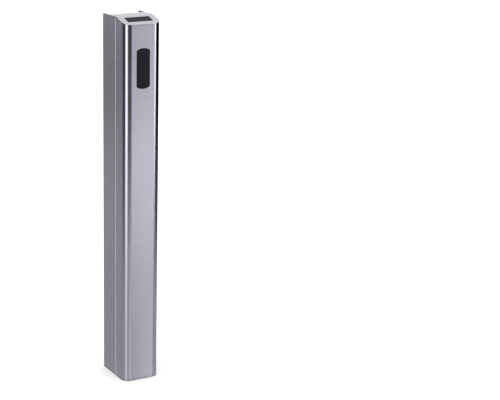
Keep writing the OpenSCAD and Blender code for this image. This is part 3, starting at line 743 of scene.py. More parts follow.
@dataclass(frozen=True)
class CircuitBoard(Finish):
    """Green solder resist over copper tracks, with plated holes."""

    pitch: float = 260.0

    def paint(self, sheet: Sheet) -> None:
        """Sets the nodes of the finish.

        Args:
            sheet: node tree of the new material.
        """
        cells = sheet.cells(self.pitch, 0.75, "DISTANCE_TO_EDGE")
        track = sheet.between(cells.outputs["Distance"], 1.0, 0.0, 0.05, 0.09)
        dots = sheet.cells(self.pitch * 0.8, 0.9)
        hole = sheet.between(dots.outputs["Distance"], 1.0, 0.0, 0.12, 0.15)
        resist = sheet.tone(track, self.tint, shade(self.tint, 2.1))
        mix = sheet.add("ShaderNodeMix", data_type="RGBA")
        mix.inputs[7].default_value = (0.72, 0.6, 0.36, 1)
        sheet.link(hole, mix.inputs[0])
        sheet.link(resist, mix.inputs[6])
        sheet.colour(mix.outputs[2])
        sheet.gloss(sheet.between(track, 0.28, 0.36, 0.0, 1.0))
        sheet.raise_by(track, 0.00004, 0.6)


@dataclass(frozen=True)
class LightChip(Finish):
    """Pale yellow chip of a light source."""

    def paint(self, sheet: Sheet) -> None:
        """Sets the nodes of the finish.

        Args:
            sheet: node tree of the new material.
        """
        cloud = sheet.noise((700.0, 700.0, 700.0), detail=2.0)
        sheet.colour(sheet.tone(sheet.between(cloud, 0.0, 1.0), shade(self.tint, 0.9), self.tint))
        sheet.gloss(sheet.between(cloud, 0.22, 0.34))


@lru_cache(maxsize=None)
def material_of(finish: Finish) -> bpy.types.Material:
    """The material of a finish, made once.

    Args:
        finish: the finish.

    Returns:
        Its material.
    """
    sheet = Sheet(finish.name)
    finish.paint(sheet)
    return sheet.material


BRUSHED = BrushedSteel("brushed_stainless", "brushed_stainless", (0.588, 0.573, 0.668))
BRUSHED_CAP = BrushedSteel("brushed_cap", "brushed_stainless", (0.60, 0.59, 0.65), Grain.ACROSS,
                           0.3, 0.6)
# Darker steel on the front cover's inner faces: painted shade inside the column.
SHADED_INSIDE = BrightMetal("painted_shade_inside", "brushed_stainless", (0.15, 0.148, 0.165), 0.42, 30.0)
# Near-black steel on the side panels' inner faces: painted deep shade.
DEEP_SHADE_INSIDE = BrightMetal("painted_deep_shade_inside", "brushed_stainless", (0.015, 0.015, 0.018), 0.45, 30.0)
POLISHED_EDGE = BrightMetal("polished_edge", "polished_stainless", (0.86, 0.85, 0.88))
POLISHED = BrightMetal("polished_steel", "polished_stainless", (0.74, 0.73, 0.76), 0.2)
SEAM = BrightMetal("satin_strip", "polished_stainless", (0.60, 0.595, 0.63), 0.5, 60.0, 0.4)
ZINC = ZincPlate("zinc_plate", "zinc_plated_steel", (0.66, 0.67, 0.66))
BRASS = BrightMetal("brass", "brass", (0.78, 0.58, 0.28), 0.24, 200.0)
ALUMINIUM = BrightMetal("case_aluminium", "case_aluminium", (0.72, 0.72, 0.73), 0.38, 40.0)
FERRITE = Moulded("magnet_ferrite", "magnet_ferrite", (0.045, 0.045, 0.05), 0.42, 900.0)
SMOKED = Glazing("smoked_acrylic", "smoked_acrylic", (0.007, 0.007, 0.011), 0.2, 1.31)
RED_GLASS = Glazing("red_glass", "red_glass", (0.004, 0.003, 0.006), 0.1, 1.17)
RUBBER = Moulded("rubber", "rubber", (0.022, 0.022, 0.024), 0.72, 500.0, 0.00008)
BLACK = Moulded("black_plastic", "black_plastic", (0.022, 0.022, 0.025), 0.45)
WHITE = Moulded("white_plastic", "white_plastic", (0.78, 0.78, 0.75), 0.4)
GREY = Moulded("grey_plastic", "grey_plastic", (0.34, 0.35, 0.37), 0.45)
BLUE = Moulded("blue_plastic", "blue_plastic", (0.03, 0.12, 0.40), 0.35)
RED = Moulded("red_plastic", "red_plastic", (0.45, 0.03, 0.02), 0.35)
SHEATH = Moulded("wire_sheath", "wire_sheath", (0.05, 0.045, 0.045), 0.4, 600.0)
BROWN_SHEATH = Moulded("brown_sheath", "wire_sheath", (0.13, 0.05, 0.025), 0.4, 600.0)
EARTH = Moulded("earth_yellow", "wire_sheath", (0.36, 0.45, 0.03), 0.4, 600.0)
SLEEVE = Moulded("capacitor_sleeve", "black_plastic", (0.015, 0.03, 0.07), 0.3, 900.0)
BOARD = CircuitBoard("circuit_board", "circuit_board", (0.012, 0.10, 0.045))
CHIP = LightChip("led_chip", "led_chip", (0.86, 0.80, 0.52))


# ---- Shared outlines ---------------------------------------------------------------------------


@dataclass
class ColumnShape:
    """Driving sizes of the column, and the outlines that its pieces share."""

    width: float = (CAD_BOX[1].x - CAD_BOX[0].x) / MM
    depth: float = (CAD_BOX[1].y - CAD_BOX[0].y) / MM
    height: float = (CAD_BOX[1].z - CAD_BOX[0].z) / MM
    corner_r: float = 22.0
    sheet: float = 2.0
    slope_deg: float = 17.0
    slope_l: float = 50.0
    bend_r: float = 50.0
    cap_t: float = 2.5
    cap_gap: float = 0.5
    window_y: float = 27.9
    arc_steps: int = 24

    @property
    def half(self) -> float:
        """Half the width."""
        return self.width / 2

    @property
    def wall_x(self) -> float:
        """Place of the side walls' inner faces."""
        return self.half - self.sheet

    @property
    def bend_centre(self) -> Point:
        """Depth and height of the middle of the cap's bend."""
        return (self.slope_l + self.bend_r * math.tan(math.radians(self.slope_deg) / 2),
                self.height - self.bend_r)

    def row_y(self, depth: float) -> float:
        """Place along Y of a depth behind the front face."""
        return depth - self.depth / 2

    def slope_z(self, depth: float, drop: float) -> float:
        """Height of the cap's slope, or of a plane below it.

        Args:
            depth: depth behind the front face.
            drop: distance below the cap's surface.

        Returns:
            The height.
        """
        slope = math.radians(self.slope_deg)
        reach = self.bend_r - drop
        across = depth - self.bend_centre[0] + reach * math.sin(slope)
        return self.bend_centre[1] + reach * math.cos(slope) + across * math.tan(slope)

    def top_line(self, drop: float, first: float, last: float) -> list[Point]:
        """Side view of the top, drop below the cap's surface.

        Args:
            drop: distance below the cap's surface.
            first: depth of its front end.
            last: depth of its rear end.

        Returns:
            Points from front to rear as places along Y with their heights.
        """
        centre = (self.row_y(self.bend_centre[0]), self.bend_centre[1])
        bend = arc(centre, self.bend_r - drop, 90 + self.slope_deg, 90, 10)
        return [(self.row_y(first), self.slope_z(first, drop)), *bend,
                (self.row_y(last), self.height - drop)]

    def above_top(self, drop: float) -> Solid:
        """Everything above the top, or above a level below it.

        Args:
            drop: distance below the cap's surface.

        Returns:
            The solid, which reaches past the column on all sides.
        """
        reach = self.depth + 20
        outline = self.top_line(drop, -20, reach)
        outline += [(self.row_y(reach), self.height + 40), (self.row_y(-20), self.height + 40)]
        return Solid.prism(outline, Along.X, -self.width, self.width)

    def strip(self, drop0: float, drop1: float, y0: float, y1: float, x0: float,
              x1: float) -> Solid:
        """Plate that follows the top.

        Args:
            drop0: distance of its upper face below the cap's surface.
            drop1: distance of its lower face below it.
            y0: depth of its front edge.
            y1: depth of its rear edge.
            x0: place of its left edge.
            x1: place of its right edge.

        Returns:
            The plate.
        """
        upper = self.top_line(drop0, y0 - 2, y1 + 40)
        lower = self.top_line(drop1, y0 - 2, y1 + 40)
        plate = Solid.prism(upper + lower[::-1], Along.X, x0, x1)
        keep = Solid.prism(rectangle((x0 - 1, self.row_y(y0)), (x1 + 1, self.row_y(y1))),
                           Along.Z, 0, self.height + 1)
        return plate.shape_with(keep, Cut.KEEP_COMMON)

    def plan(self, inset: float, rear: float) -> list[Point]:
        """Outline of the column in plan.

        Args:
            inset: distance inside the outer face.
            rear: depth at which it is cut off.

        Returns:
            Its corners.
        """
        radius = self.corner_r - inset
        straight = self.half - self.corner_r
        front = self.row_y(self.corner_r)
        side = self.half - inset
        right = arc((straight, front), radius, -90, 0, self.arc_steps)
        outline = [*right, (side, self.row_y(rear))]
        return mirrored(outline) + outline

    def slope_place(self) -> Matrix:
        """Places a shape on the cap's slope, with its XY plane in the surface."""
        spot = Vector((0, self.row_y(self.window_y), self.slope_z(self.window_y, 0)))
        return Matrix.Translation(spot) @ Matrix.Rotation(math.radians(self.slope_deg), 4, "X")

    def slope_slab(self, width: float, length: float, z0: float, z1: float) -> Solid:
        """Block on the cap's slope, between two distances along its normal."""
        outline = rectangle((-width / 2, -length / 2), (width / 2, length / 2))
        return Solid.prism(outline, Along.Z, z0, z1).placed(self.slope_place())


SHAPE = ColumnShape()


# ---- Sub-assemblies ----------------------------------------------------------------------------


@dataclass
class DisplayWindow:
    """Smoked lens in the front and the light box behind it."""

    width: float = 39.0
    height: float = 107.0
    rise: float = 6.0
    drop: float = 131.0
    lens_sink: float = 0.4
    flange_front: float = 3.0
    lens_rear: float = 5.0
    margin: float = 4.0
    play: float = 0.15

    @property
    def centre_z(self) -> float:
        """Height of the window's middle."""
        return SHAPE.height - self.drop

    def outline(self, margin: float) -> list[Point]:
        """Outline with arched ends, in the column's own heights.

        Args:
            margin: how far it is grown.

        Returns:
            Its corners.
        """
        radius = (self.width ** 2 / 4 + self.rise ** 2) / (2 * self.rise)
        middle = self.height / 2 - radius
        side = self.width / 2 + margin
        swing = math.degrees(math.asin(side / (radius + margin)))
        upper = arc((0, self.centre_z + middle), radius + margin, 90 - swing, 90 + swing, 32)
        lower = arc((0, self.centre_z - middle), radius + margin, 270 - swing, 270 + swing, 32)
        return upper + lower

    def opening(self) -> Solid:
        """Tool that cuts the window out of the cover's front."""
        return Solid.prism(self.outline(0), Along.Y, SHAPE.row_y(-3), SHAPE.row_y(SHAPE.sheet + 3))

    def build_lens(self) -> Piece:
        """Makes the lens: a pad that fills the opening, on a flange behind the sheet.

        Returns:
            The piece.
        """
        pad = Solid.prism(self.outline(-self.play), Along.Y, SHAPE.row_y(self.lens_sink),
                          SHAPE.row_y(self.lens_rear - 1))
        flange = Solid.prism(self.outline(self.margin), Along.Y, SHAPE.row_y(self.flange_front),
                             SHAPE.row_y(self.lens_rear))
        return pad.plus(flange).eased(0.35, 3).piece("display_lens_pad", "cover", SMOKED,
                                                     ("display_lens",))

    def build(self) -> list[Piece]:
        """Makes every piece of the display.

        Returns:
            The pieces.
        """
        return [self.build_lens(), *eased_nodes("cover", {
            "display_gasket": (RUBBER, 0.15),
            "display_mask": (BLACK, 0.1),
            "display_diffuser": (WHITE, 0.2),
            "display_housing": (BLACK, 0.4),
            "led_board": (BOARD, 0.1),
            "display_leds": (CHIP, 0.3),
            "display_studs": (ZINC, 0.2),
            "display_nuts": (ZINC, 0.25),
        })]


def eased_node(node: str, body: str, finish: Finish, width: float) -> Piece:
    """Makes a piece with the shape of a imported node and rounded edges."""
    return Solid.of_node(node).eased(width).piece(f"{node}_part", body, finish, (node,))


def eased_nodes(body: str, looks: dict[str, tuple[Finish, float]]) -> list[Piece]:
    """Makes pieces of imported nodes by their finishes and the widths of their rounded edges."""
    return [eased_node(node, body, finish, width) for node, (finish, width) in looks.items()]


@dataclass
class FrontCover:
    """Folded sheet with rounded corners, and what is fixed to it."""

    rear: float = 51.9
    lift: float = 1.0
    flange_x: float = 36.5
    flange_low: float = 8.0
    flange_top: float = 919.8
    fold_r: float = 1.0
    peg_x: float = 44.2
    peg_heights: tuple[float, ...] = (120.0, 880.0)
    peg_hole_r: float = 3.1
    shade_front: float = 1.5
    shade_middle: float = 30.0
    display: DisplayWindow = field(default_factory=DisplayWindow)

    def profile(self) -> list[Point]:
        """Outline of the folded sheet in plan, with both return flanges.

        Returns:
            Its corners, in order.
        """
        rear = SHAPE.row_y(self.rear)
        inner_r = 0.4
        fold_out = arc((SHAPE.half - self.fold_r, rear - self.fold_r), self.fold_r, 0, 90, 6)
        fold_in = arc((SHAPE.wall_x - inner_r, rear - SHAPE.sheet - inner_r), inner_r, 90, 0, 4)
        straight = SHAPE.half - SHAPE.corner_r
        middle = (straight, SHAPE.row_y(SHAPE.corner_r))
        outer = arc(middle, SHAPE.corner_r, -90, 0, SHAPE.arc_steps)
        inner = arc(middle, SHAPE.corner_r - SHAPE.sheet, 0, -90, SHAPE.arc_steps)
        flange = [(self.flange_x, rear), (self.flange_x, rear - SHAPE.sheet)]
        right = [*outer, *fold_out, *flange, *fold_in, *inner]
        return right + mirrored(right)

    def build_sheet(self) -> Piece:
        """Makes the folded sheet with its display opening and peg holes.

        Returns:
            The piece.
        """
        sheet = Solid.prism(self.profile(), Along.Z, self.lift, SHAPE.height)
        rear = SHAPE.row_y(self.rear)
        for low, high in ((-1.0, self.flange_low), (self.flange_top, SHAPE.height + 1)):
            relief = rectangle((-SHAPE.wall_x, rear - SHAPE.sheet - 2), (SHAPE.wall_x, rear + 2))
            sheet.minus(Solid.prism(relief, Along.Z, low, high))
        sheet.minus(SHAPE.above_top(SHAPE.cap_t + SHAPE.cap_gap), self.display.opening())
        for side in (-1, 1):
            for z in self.peg_heights:
                place = (side * self.peg_x, rear - SHAPE.sheet - 1, z)
                sheet.minus(Solid.rod(place, self.peg_hole_r, Along.Y, SHAPE.sheet + 2))
        # The cover's inner faces behind the front get the darker steel, as painted shade.
        behind = SHAPE.row_y(self.shade_front)
        middle = SHAPE.row_y(self.shade_middle)
        sheet.eased(0.35).paint_shade_on(lambda spot, normal: spot.y > behind and abs(normal.z) < 0.5
                                and normal.x * spot.x + normal.y * (spot.y - middle) < 0)
        return sheet.piece("front_cover_sheet", "cover", BRUSHED, ("front_cover",), POLISHED_EDGE,
                           SHADED_INSIDE)

    def build(self) -> list[Piece]:
        """Makes the sheet and its fittings.

        Returns:
            The pieces.
        """
        return [self.build_sheet(), *eased_nodes("cover", {
            "cover_stiffeners": (ZINC, 0.3),
            "cover_pegs": (POLISHED, 0.3),
            "striker_plates": (ZINC, 0.15),
        }), *self.display.build()]


@dataclass
class TopCap:
    """Bent cap plate with the scanner window."""

    length: float = 95.0
    rim_h: float = 9.0
    rim_t: float = 1.5
    rim_rear: float = 47.9
    window_w: float = 72.0
    window_l: float = 27.5
    pane_sink: float = 0.9
    pane_play: float = 0.3
    pane_flange: float = 3.5
    pane_rear: float = 6.0
    pane_margin_x: float = 5.0
    pane_margin_y: float = 2.5

    def build_plate(self) -> Piece:
        """Makes the bent plate with its window and the rim inside the cover.

        Returns:
            The piece.
        """
        plate = Solid.prism(SHAPE.plan(0, self.length), Along.Z, SHAPE.height / 2, SHAPE.height + 1)
        band = SHAPE.strip(0, SHAPE.cap_t, -1, self.length + 1, -SHAPE.half - 1, SHAPE.half + 1)
        plate.shape_with(band, Cut.KEEP_COMMON)
        under = SHAPE.cap_t - 0.5
        low = SHAPE.cap_t + self.rim_h
        side = SHAPE.wall_x - 0.2 - self.rim_t
        for x in (-side - self.rim_t, side):
            plate.plus(SHAPE.strip(under, low, SHAPE.corner_r, self.rim_rear, x, x + self.rim_t))
        run = SHAPE.half - SHAPE.corner_r - 2
        front = SHAPE.sheet + 0.2
        plate.plus(SHAPE.strip(under, low, front, front + self.rim_t, -run, run))
        plate.minus(SHAPE.slope_slab(self.window_w, self.window_l, -8, 1))
        return plate.eased(0.45, 3).piece("top_cap_plate", "cover", BRUSHED_CAP, ("top_cap",),
                                          POLISHED_EDGE)

    def build_pane(self) -> Piece:
        """Makes the pane: a pad that fills the opening, on a flange under the cap.

        Returns:
            The piece.
        """
        pad = SHAPE.slope_slab(self.window_w - 2 * self.pane_play,
                               self.window_l - 2 * self.pane_play,
                               -self.pane_rear + 1, -self.pane_sink)
        flange = SHAPE.slope_slab(self.window_w + 2 * self.pane_margin_x,
                                  self.window_l + 2 * self.pane_margin_y,
                                  -self.pane_rear, -self.pane_flange)
        return pad.plus(flange).eased(0.3).piece("scanner_window_pane", "cover", RED_GLASS,
                                                 ("window_pane",))

    def build(self) -> list[Piece]:
        """Makes the cap, the pane and what holds it.

        Returns:
            The pieces.
        """
        return [self.build_plate(), self.build_pane(), *eased_nodes("cover", {
            "window_gasket": (RUBBER, 0.15),
            "window_clamp": (ZINC, 0.2),
            "window_nuts": (ZINC, 0.2),
        })]


@dataclass
class SideWalls:
    """Both side panels and the bright strips in their front joints."""

    front: float = 56.1
    hem_w: float = 8.0
    hem_t: float = 1.5
    hem_r: float = 1.4
    cap_rear: float = 95.3

    def panel_profile(self) -> list[Point]:
        """Outline of the right panel in plan, with the folded hem at its rear edge.

        Returns:
            Its corners, in order.
        """
        front = SHAPE.row_y(self.front)
        rear = SHAPE.row_y(SHAPE.depth)
        inner = SHAPE.wall_x - self.hem_t
        fold = arc((SHAPE.half - self.hem_r, rear - self.hem_r), self.hem_r, 0, 90, 6)
        back = arc((inner + self.hem_r, rear - self.hem_r), self.hem_r, 90, 180, 6)
        step = rear - self.hem_w
        return [(SHAPE.half, front), *fold, *back, (inner, step), (SHAPE.wall_x, step),
                (SHAPE.wall_x, front)]

    def build_panel(self, name: str, outline: list[Point]) -> Piece:
        """Makes one side panel, cut lower where the cap lies on it.

        Args:
            name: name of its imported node.
            outline: its outline in plan.

        Returns:
            The panel.
        """
        panel = Solid.prism(outline, Along.Z, 0, SHAPE.height)
        under_cap = SHAPE.above_top(SHAPE.cap_t + SHAPE.cap_gap)
        front = Solid.prism(rectangle((-SHAPE.width, SHAPE.row_y(-10)),
                                      (SHAPE.width, SHAPE.row_y(self.cap_rear))),
                            Along.Z, 0, 2 * SHAPE.height)
        panel.minus(under_cap.shape_with(front, Cut.KEEP_COMMON))
        # The panels' inner faces get near-black steel, as painted shade.
        panel.eased(0.35).paint_shade_on(lambda spot, normal: abs(normal.x) > 0.9 and normal.x * spot.x < 0)
        return panel.piece(f"{name}_sheet", "column", BRUSHED, (name,), POLISHED_EDGE, DEEP_SHADE_INSIDE)

    def build(self) -> list[Piece]:
        """Makes the panels and the strips.

        Returns:
            The pieces.
        """
        outline = self.panel_profile()
        return [
            self.build_panel("right_side_panel", outline),
            self.build_panel("left_side_panel", mirrored(outline)),
            eased_node("left_seam_strip", "column", SEAM, 0.15),
            eased_node("right_seam_strip", "column", SEAM, 0.15),
        ]


@dataclass
class InnerFrame:
    """Base plate, rails, web and the fittings that the cover closes on."""

    sheet_edge: float = 0.3

    def build(self) -> list[Piece]:
        """Makes every piece of the frame.

        Returns:
            The pieces.
        """
        plated = ("base_plate", "base_gussets", "left_rail", "right_rail", "mounting_web")
        pieces = [eased_node(node, "column", ZINC, self.sheet_edge) for node in plated]
        pieces += [eased_node(node, "column", RUBBER, 0.3) for node in
                   ("left_gasket", "right_gasket", "cable_grommets")]
        pieces += eased_nodes("column", {
            "guide_bushes": (BRASS, 0.2),
            "catch_magnets": (FERRITE, 0.4),
            "tamper_switch": (BLACK, 0.4),
        })
        return [*pieces, eased_node("tamper_plunger", "tamper_plunger", RED, 0.2)]


@dataclass
class ControlBoard:
    """Printed board with its connectors, relays, chips, capacitors and beeper."""

    low: float = 560.0
    high: float = 700.0
    front: float = 66.0
    connector_w: float = 40.0
    connector_h: float = 10.0
    contacts: int = 8
    connector_d: float = 10.0
    relay_x: tuple[float, ...] = (-26.0, -7.0, 12.0)
    relay_up: float = 24.0
    relay_size: Triple = (14.0, 18.0, 13.0)
    capacitor_x: tuple[float, ...] = (-20.0, -9.0, 2.0)
    capacitor_up: float = 95.0
    capacitor_h: float = 11.0
    beeper_place: Point = (18.0, 98.0)
    beeper_hole_r: float = 1.2
    leg_pitch: float = 1.8
    leg_l: float = 1.5
    leg_w: float = 0.7
    resistor_x: float = -24.0
    resistor_pitch: float = 5.5
    chips: tuple[tuple[float, float, float, float, float], ...] = (
        (-22.0, 60.0, 20.0, 20.0, 2.0), (4.0, 58.0, 12.0, 9.0, 1.6), (4.0, 72.0, 12.0, 9.0, 1.6))

    def box(self, x: float, up: float, width: float, height: float, depth: float,
            sunk: float = 0.0) -> Solid:
        """Block on the board's front.

        Args:
            x: place of its left side.
            up: height of its underside above the board's lower edge.
            width: width across.
            height: height.
            depth: how far its front stands off the board.
            sunk: how far its rear stays off the board.

        Returns:
            The block.
        """
        outline = rectangle((x, self.low + up), (x + width, self.low + up + height))
        return Solid.prism(outline, Along.Y, SHAPE.row_y(self.front - depth),
                           SHAPE.row_y(self.front - sunk))

    def build_connectors(self) -> list[Piece]:
        """Makes both pluggable connectors with the contacts in their wells.

        Returns:
            The pieces.
        """
        ups = (1.0, self.high - self.low - 1 - self.connector_h)
        pitch = self.connector_w / self.contacts
        left = -self.connector_w / 2
        bodies = [self.box(left, up, self.connector_w, self.connector_h, self.connector_d)
                  for up in ups]
        wells, pins = [], []
        for up in ups:
            for i in range(self.contacts):
                x = left + pitch * i
                wells.append(self.box(x + 1, up + 2, pitch - 2, self.connector_h - 4,
                                      self.connector_d + 1, 4))
                pins.append(self.box(x + pitch / 2 - 0.5, up + 4, 1, 2, 8.5, 3.5))
        housing = Solid.row(bodies).minus(Solid.row(wells)).eased(0.25)
        return [housing.piece("board_connectors", "column", WHITE, ("board_parts",)),
                Solid.row(pins).eased(0.12).piece("connector_pins", "column", BRASS)]

    def build_relays(self) -> Piece:
        """Makes the relays, with a shallow panel in the front of each.

        Returns:
            The piece.
        """
        width, height, depth = self.relay_size
        cans = Solid.row([self.box(x, self.relay_up, width, height, depth) for x in self.relay_x])
        panels = Solid.row([self.box(x + 1.5, self.relay_up + 2, width - 3, height - 4, depth + 1,
                                     depth - 0.3) for x in self.relay_x])
        return cans.eased(0.4, 3).minus(panels).piece("board_relays", "column", BLUE)

    def build_chips(self) -> list[Piece]:
        """Makes the chips with their corner marks and their rows of legs.

        Returns:
            The pieces.
        """
        bodies, marks, legs = [], [], []
        for x, up, width, height, depth in self.chips:
            bodies.append(self.box(x, up, width, height, depth, 0.3))
            spot = (x + 2, SHAPE.row_y(self.front - depth) - 0.2, self.low + up + height - 2)
            marks.append(Solid.rod(spot, 0.8, Along.Y, 0.45, 16))
            count = int(height / self.leg_pitch)
            under = 0.1
            over = self.leg_l - under
            for i in range(count):
                step = height * (i + 0.5) / count - self.leg_w / 2
                legs += [self.box(side, up + step, self.leg_l, self.leg_w, self.leg_w)
                         for side in (x - over, x + width - under)]
                if width == height:
                    legs += [self.box(x + step, side, self.leg_w, self.leg_l, self.leg_w)
                             for side in (up - over, up + height - under)]
        chips = Solid.row(bodies).eased(0.2).minus(Solid.row(marks))
        return [chips.piece("board_chips", "column", BLACK),
                Solid.row(legs).eased(0.1).piece("chip_legs", "column", POLISHED)]

    def build_capacitors(self) -> list[Piece]:
        """Makes the capacitors: sleeves with a pinched foot, and scored metal tops.

        Returns:
            The pieces.
        """
        profile = [(-10.8, 3.3), (-10.8, 3.7), (-10.5, 4.0), (-1.8, 4.0), (-1.5, 3.6), (-1.1, 3.6),
                   (-0.8, 4.0), (0.0, 4.0)]
        sleeves, tops, scores = [], [], []
        for x in self.capacitor_x:
            foot = (x, SHAPE.row_y(self.front), self.low + self.capacitor_up)
            sleeves.append(Solid.turned(profile, foot, Along.Y))
            top = (x, foot[1] - self.capacitor_h, foot[2])
            tops.append(Solid.rod(top, 3.25, Along.Y, 0.6))
            scores.append(self.box(x - 2.4, self.capacitor_up - 0.25, 4.8, 0.5,
                                   self.capacitor_h + 0.2, self.capacitor_h - 0.2))
        lids = Solid.row(tops).eased(0.12).minus(Solid.row(scores))
        return [Solid.row(sleeves).piece("capacitor_sleeves", "column", SLEEVE),
                lids.piece("capacitor_tops", "column", ALUMINIUM)]

    def build_beeper(self) -> Piece:
        """Makes the round beeper with its sound hole.

        Returns:
            The piece.
        """
        x, up = self.beeper_place
        foot = (x, SHAPE.row_y(self.front), self.low + up)
        body = Solid.turned([(-8.0, 6.4), (-7.4, 7.0), (0.0, 7.0)], foot, Along.Y, 40)
        body.minus(Solid.rod((x, foot[1] - 9, foot[2]), self.beeper_hole_r, Along.Y, 3, 20))
        return body.eased(0.2, 2, 60).piece("board_beeper", "column", BLACK)

    def build_small_parts(self) -> list[Piece]:
        """Makes rows of small resistors with their soldered ends.

        Returns:
            The pieces.
        """
        columns = [self.resistor_x + self.resistor_pitch * i for i in range(9)]
        places = [(x, 48.0) for x in columns] + [(x, 112.0) for x in columns[:-1]]
        places += [(22.0, 60.0 + 4.0 * i) for i in range(6)]
        bodies = [self.box(x + 0.5, up, 1.6, 1.4, 0.7) for x, up in places]
        ends = [self.box(x + shift, up, 0.45, 1.4, 0.75)
                for x, up in places for shift in (0.0, 2.15)]
        return [Solid.row(bodies).eased(0.08).piece("board_resistors", "column", BLACK),
                Solid.row(ends).eased(0.08).piece("resistor_ends", "column", POLISHED)]

    def build(self) -> list[Piece]:
        """Makes the board and everything on it.

        Returns:
            The pieces.
        """
        return [
            eased_node("control_board", "column", BOARD, 0.1),
            eased_node("board_standoffs", "column", BRASS, 0.2),
            *self.build_connectors(),
            self.build_relays(),
            *self.build_chips(),
            *self.build_capacitors(),
            self.build_beeper(),
            *self.build_small_parts(),
        ]


class Block(Enum):
    """Kind of terminal block, with the name and the finish of its pieces."""

    PLAIN = ("grey", GREY)
    NEUTRAL = ("blue", BLUE)
    GROUND = ("earth", EARTH)


@dataclass
class Equipment:
    """Plate with the electrical parts."""

    rail_z: float = 300.0
    block_x: float = -32.0
    block_pitch: float = 6.4
    block_w: float = 6.0
    block_front: float = 36.5
    block_row: tuple[Block, ...] = (
        Block.PLAIN, Block.PLAIN, Block.NEUTRAL, Block.GROUND, Block.PLAIN)
    screw_rise: float = 8.0
    slot_half: float = 0.14
    slot_depth: float = 0.35
    head_edge: float = 0.08
    breaker_middle: float = 15.0
    breaker_front: float = 30.0
    breaker_step: float = 12.0
    breaker_screw_rise: float = 32.0
    wire_y: float = 51.5
    board_wire_y: float = 61.0
    wire_r: float = 1.1
    sleeve_r: float = 1.5
    sleeve_l: float = 5.0
    supply_low: float = 390.0
    supply_high: float = 510.0
    supply_front: float = 40.0
    supply_rear: float = 74.0
    supply_half: float = 28.0
    supply_screw_x: float = 24.0
    vents: int = 9
    vent_h: float = 4.0
    vent_half: float = 9.0
    board: ControlBoard = field(default_factory=ControlBoard)

    def slotted(self, spots: list[tuple[float, float]], radius: float, front: float,
                length: float, name: str) -> Piece:
        """Makes slotted screw heads that face the front.

        Args:
            spots: places across with their heights.
            radius: radius of the heads.
            front: depth of their faces.
            length: thickness of the heads.
            name: name of the piece.

        Returns:
            The piece.
        """
        y = SHAPE.row_y(front)
        heads = [Solid.rod((x, y, z), radius, Along.Y, length, 24) for x, z in spots]
        reach = radius + 1
        half = radius * self.slot_half
        slots = [Solid.prism(rectangle((x - reach, z - half), (x + reach, z + half)),
                             Along.Y, y - 1, y + radius * self.slot_depth)
                 for x, z in spots]
        whole = Solid.row(heads).minus(*slots)
        return whole.eased(radius * self.head_edge).piece(name, "column", POLISHED)

    def build_supply(self) -> list[Piece]:
        """Makes the power supply's vented case and the screws in its front.

        Returns:
            The pieces.
        """
        outline = rectangle((-self.supply_half, self.supply_low),
                            (self.supply_half, self.supply_high))
        front = SHAPE.row_y(self.supply_front)
        case = Solid.prism(outline, Along.Y, front, SHAPE.row_y(self.supply_rear))
        pitch = (self.supply_high - self.supply_low - 20) / self.vents
        cuts = []
        for i in range(self.vents):
            low = self.supply_low + 12 + i * pitch
            for side in (-1, 1):
                middle = side * self.supply_half / 2
                slot = rectangle((middle - self.vent_half, low),
                                 (middle + self.vent_half, low + self.vent_h))
                cuts.append(Solid.prism(slot, Along.Y, front - 1, front + 1.5))
                x = side * self.supply_half
                slot = rectangle((x - 1.5, front + 8), (x + 1.5, front + 28))
                cuts.append(Solid.prism(slot, Along.Z, low, low + self.vent_h))
        case.minus(Solid.row(cuts))
        corners = [(x, z) for x in (-self.supply_screw_x, self.supply_screw_x)
                   for z in (self.supply_low + 6, self.supply_high - 5)]
        return [case.eased(0.25).piece("supply_case", "column", ALUMINIUM, ("power_supply",)),
                self.slotted(corners, 2.0, self.supply_front - 0.9, 1.5, "supply_screws")]

    def build_blocks(self) -> list[Piece]:
        """Makes the terminal blocks in three colours, with the screws in their wells.

        Returns:
            The pieces.
        """
        pieces = []
        for kind in Block:
            name, finish = kind.value
            keep = []
            for i, chosen in enumerate(self.block_row):
                if chosen is kind:
                    x = self.block_x + i * self.block_pitch
                    outline = rectangle((x - 0.1, SHAPE.row_y(0)),
                                        (x + self.block_w + 0.1, SHAPE.row_y(90)))
                    keep.append(Solid.prism(outline, Along.Z, self.rail_z - 50, self.rail_z + 50))
            blocks = Solid.of_node("terminal_blocks")
            blocks.shape_with(Solid.row(keep), Cut.KEEP_COMMON)
            nodes = ("terminal_blocks",) if kind is Block.PLAIN else ()
            pieces.append(blocks.eased(0.3).piece(f"{name}_terminals", "column", finish, nodes))
        middles = [self.block_x + i * self.block_pitch + self.block_w / 2
                   for i in range(len(self.block_row))]
        spots = [(x, self.rail_z + rise) for x in middles
                 for rise in (-self.screw_rise, self.screw_rise)]
        pieces.append(self.slotted(spots, 1.85, self.block_front + 3, 3, "terminal_screws"))
        return pieces

    def build_breaker(self) -> list[Piece]:
        """Makes the breaker with its label recess, its terminal screws and its lever.

        Returns:
            The pieces.
        """
        body = Solid.of_node("circuit_breaker")
        x = self.breaker_middle
        step = self.breaker_front + self.breaker_step
        spots = [(x, self.rail_z + side * self.breaker_screw_rise) for side in (-1, 1)]
        for _, z in spots:
            body.minus(Solid.rod((x, SHAPE.row_y(step - 1), z), 2.7, Along.Y, 5, 24))
        label = rectangle((x - 7, self.rail_z - 20.5), (x + 7, self.rail_z - 14))
        body.minus(Solid.prism(label, Along.Y, SHAPE.row_y(self.breaker_front - 1),
                               SHAPE.row_y(self.breaker_front + 0.3)))
        return [
            body.eased(0.4).piece("circuit_breaker_case", "column", WHITE, ("circuit_breaker",)),
            self.slotted(spots, 2.4, step + 1, 2.5, "breaker_screws"),
            eased_node("breaker_lever", "breaker_lever", BLUE, 0.4),
        ]

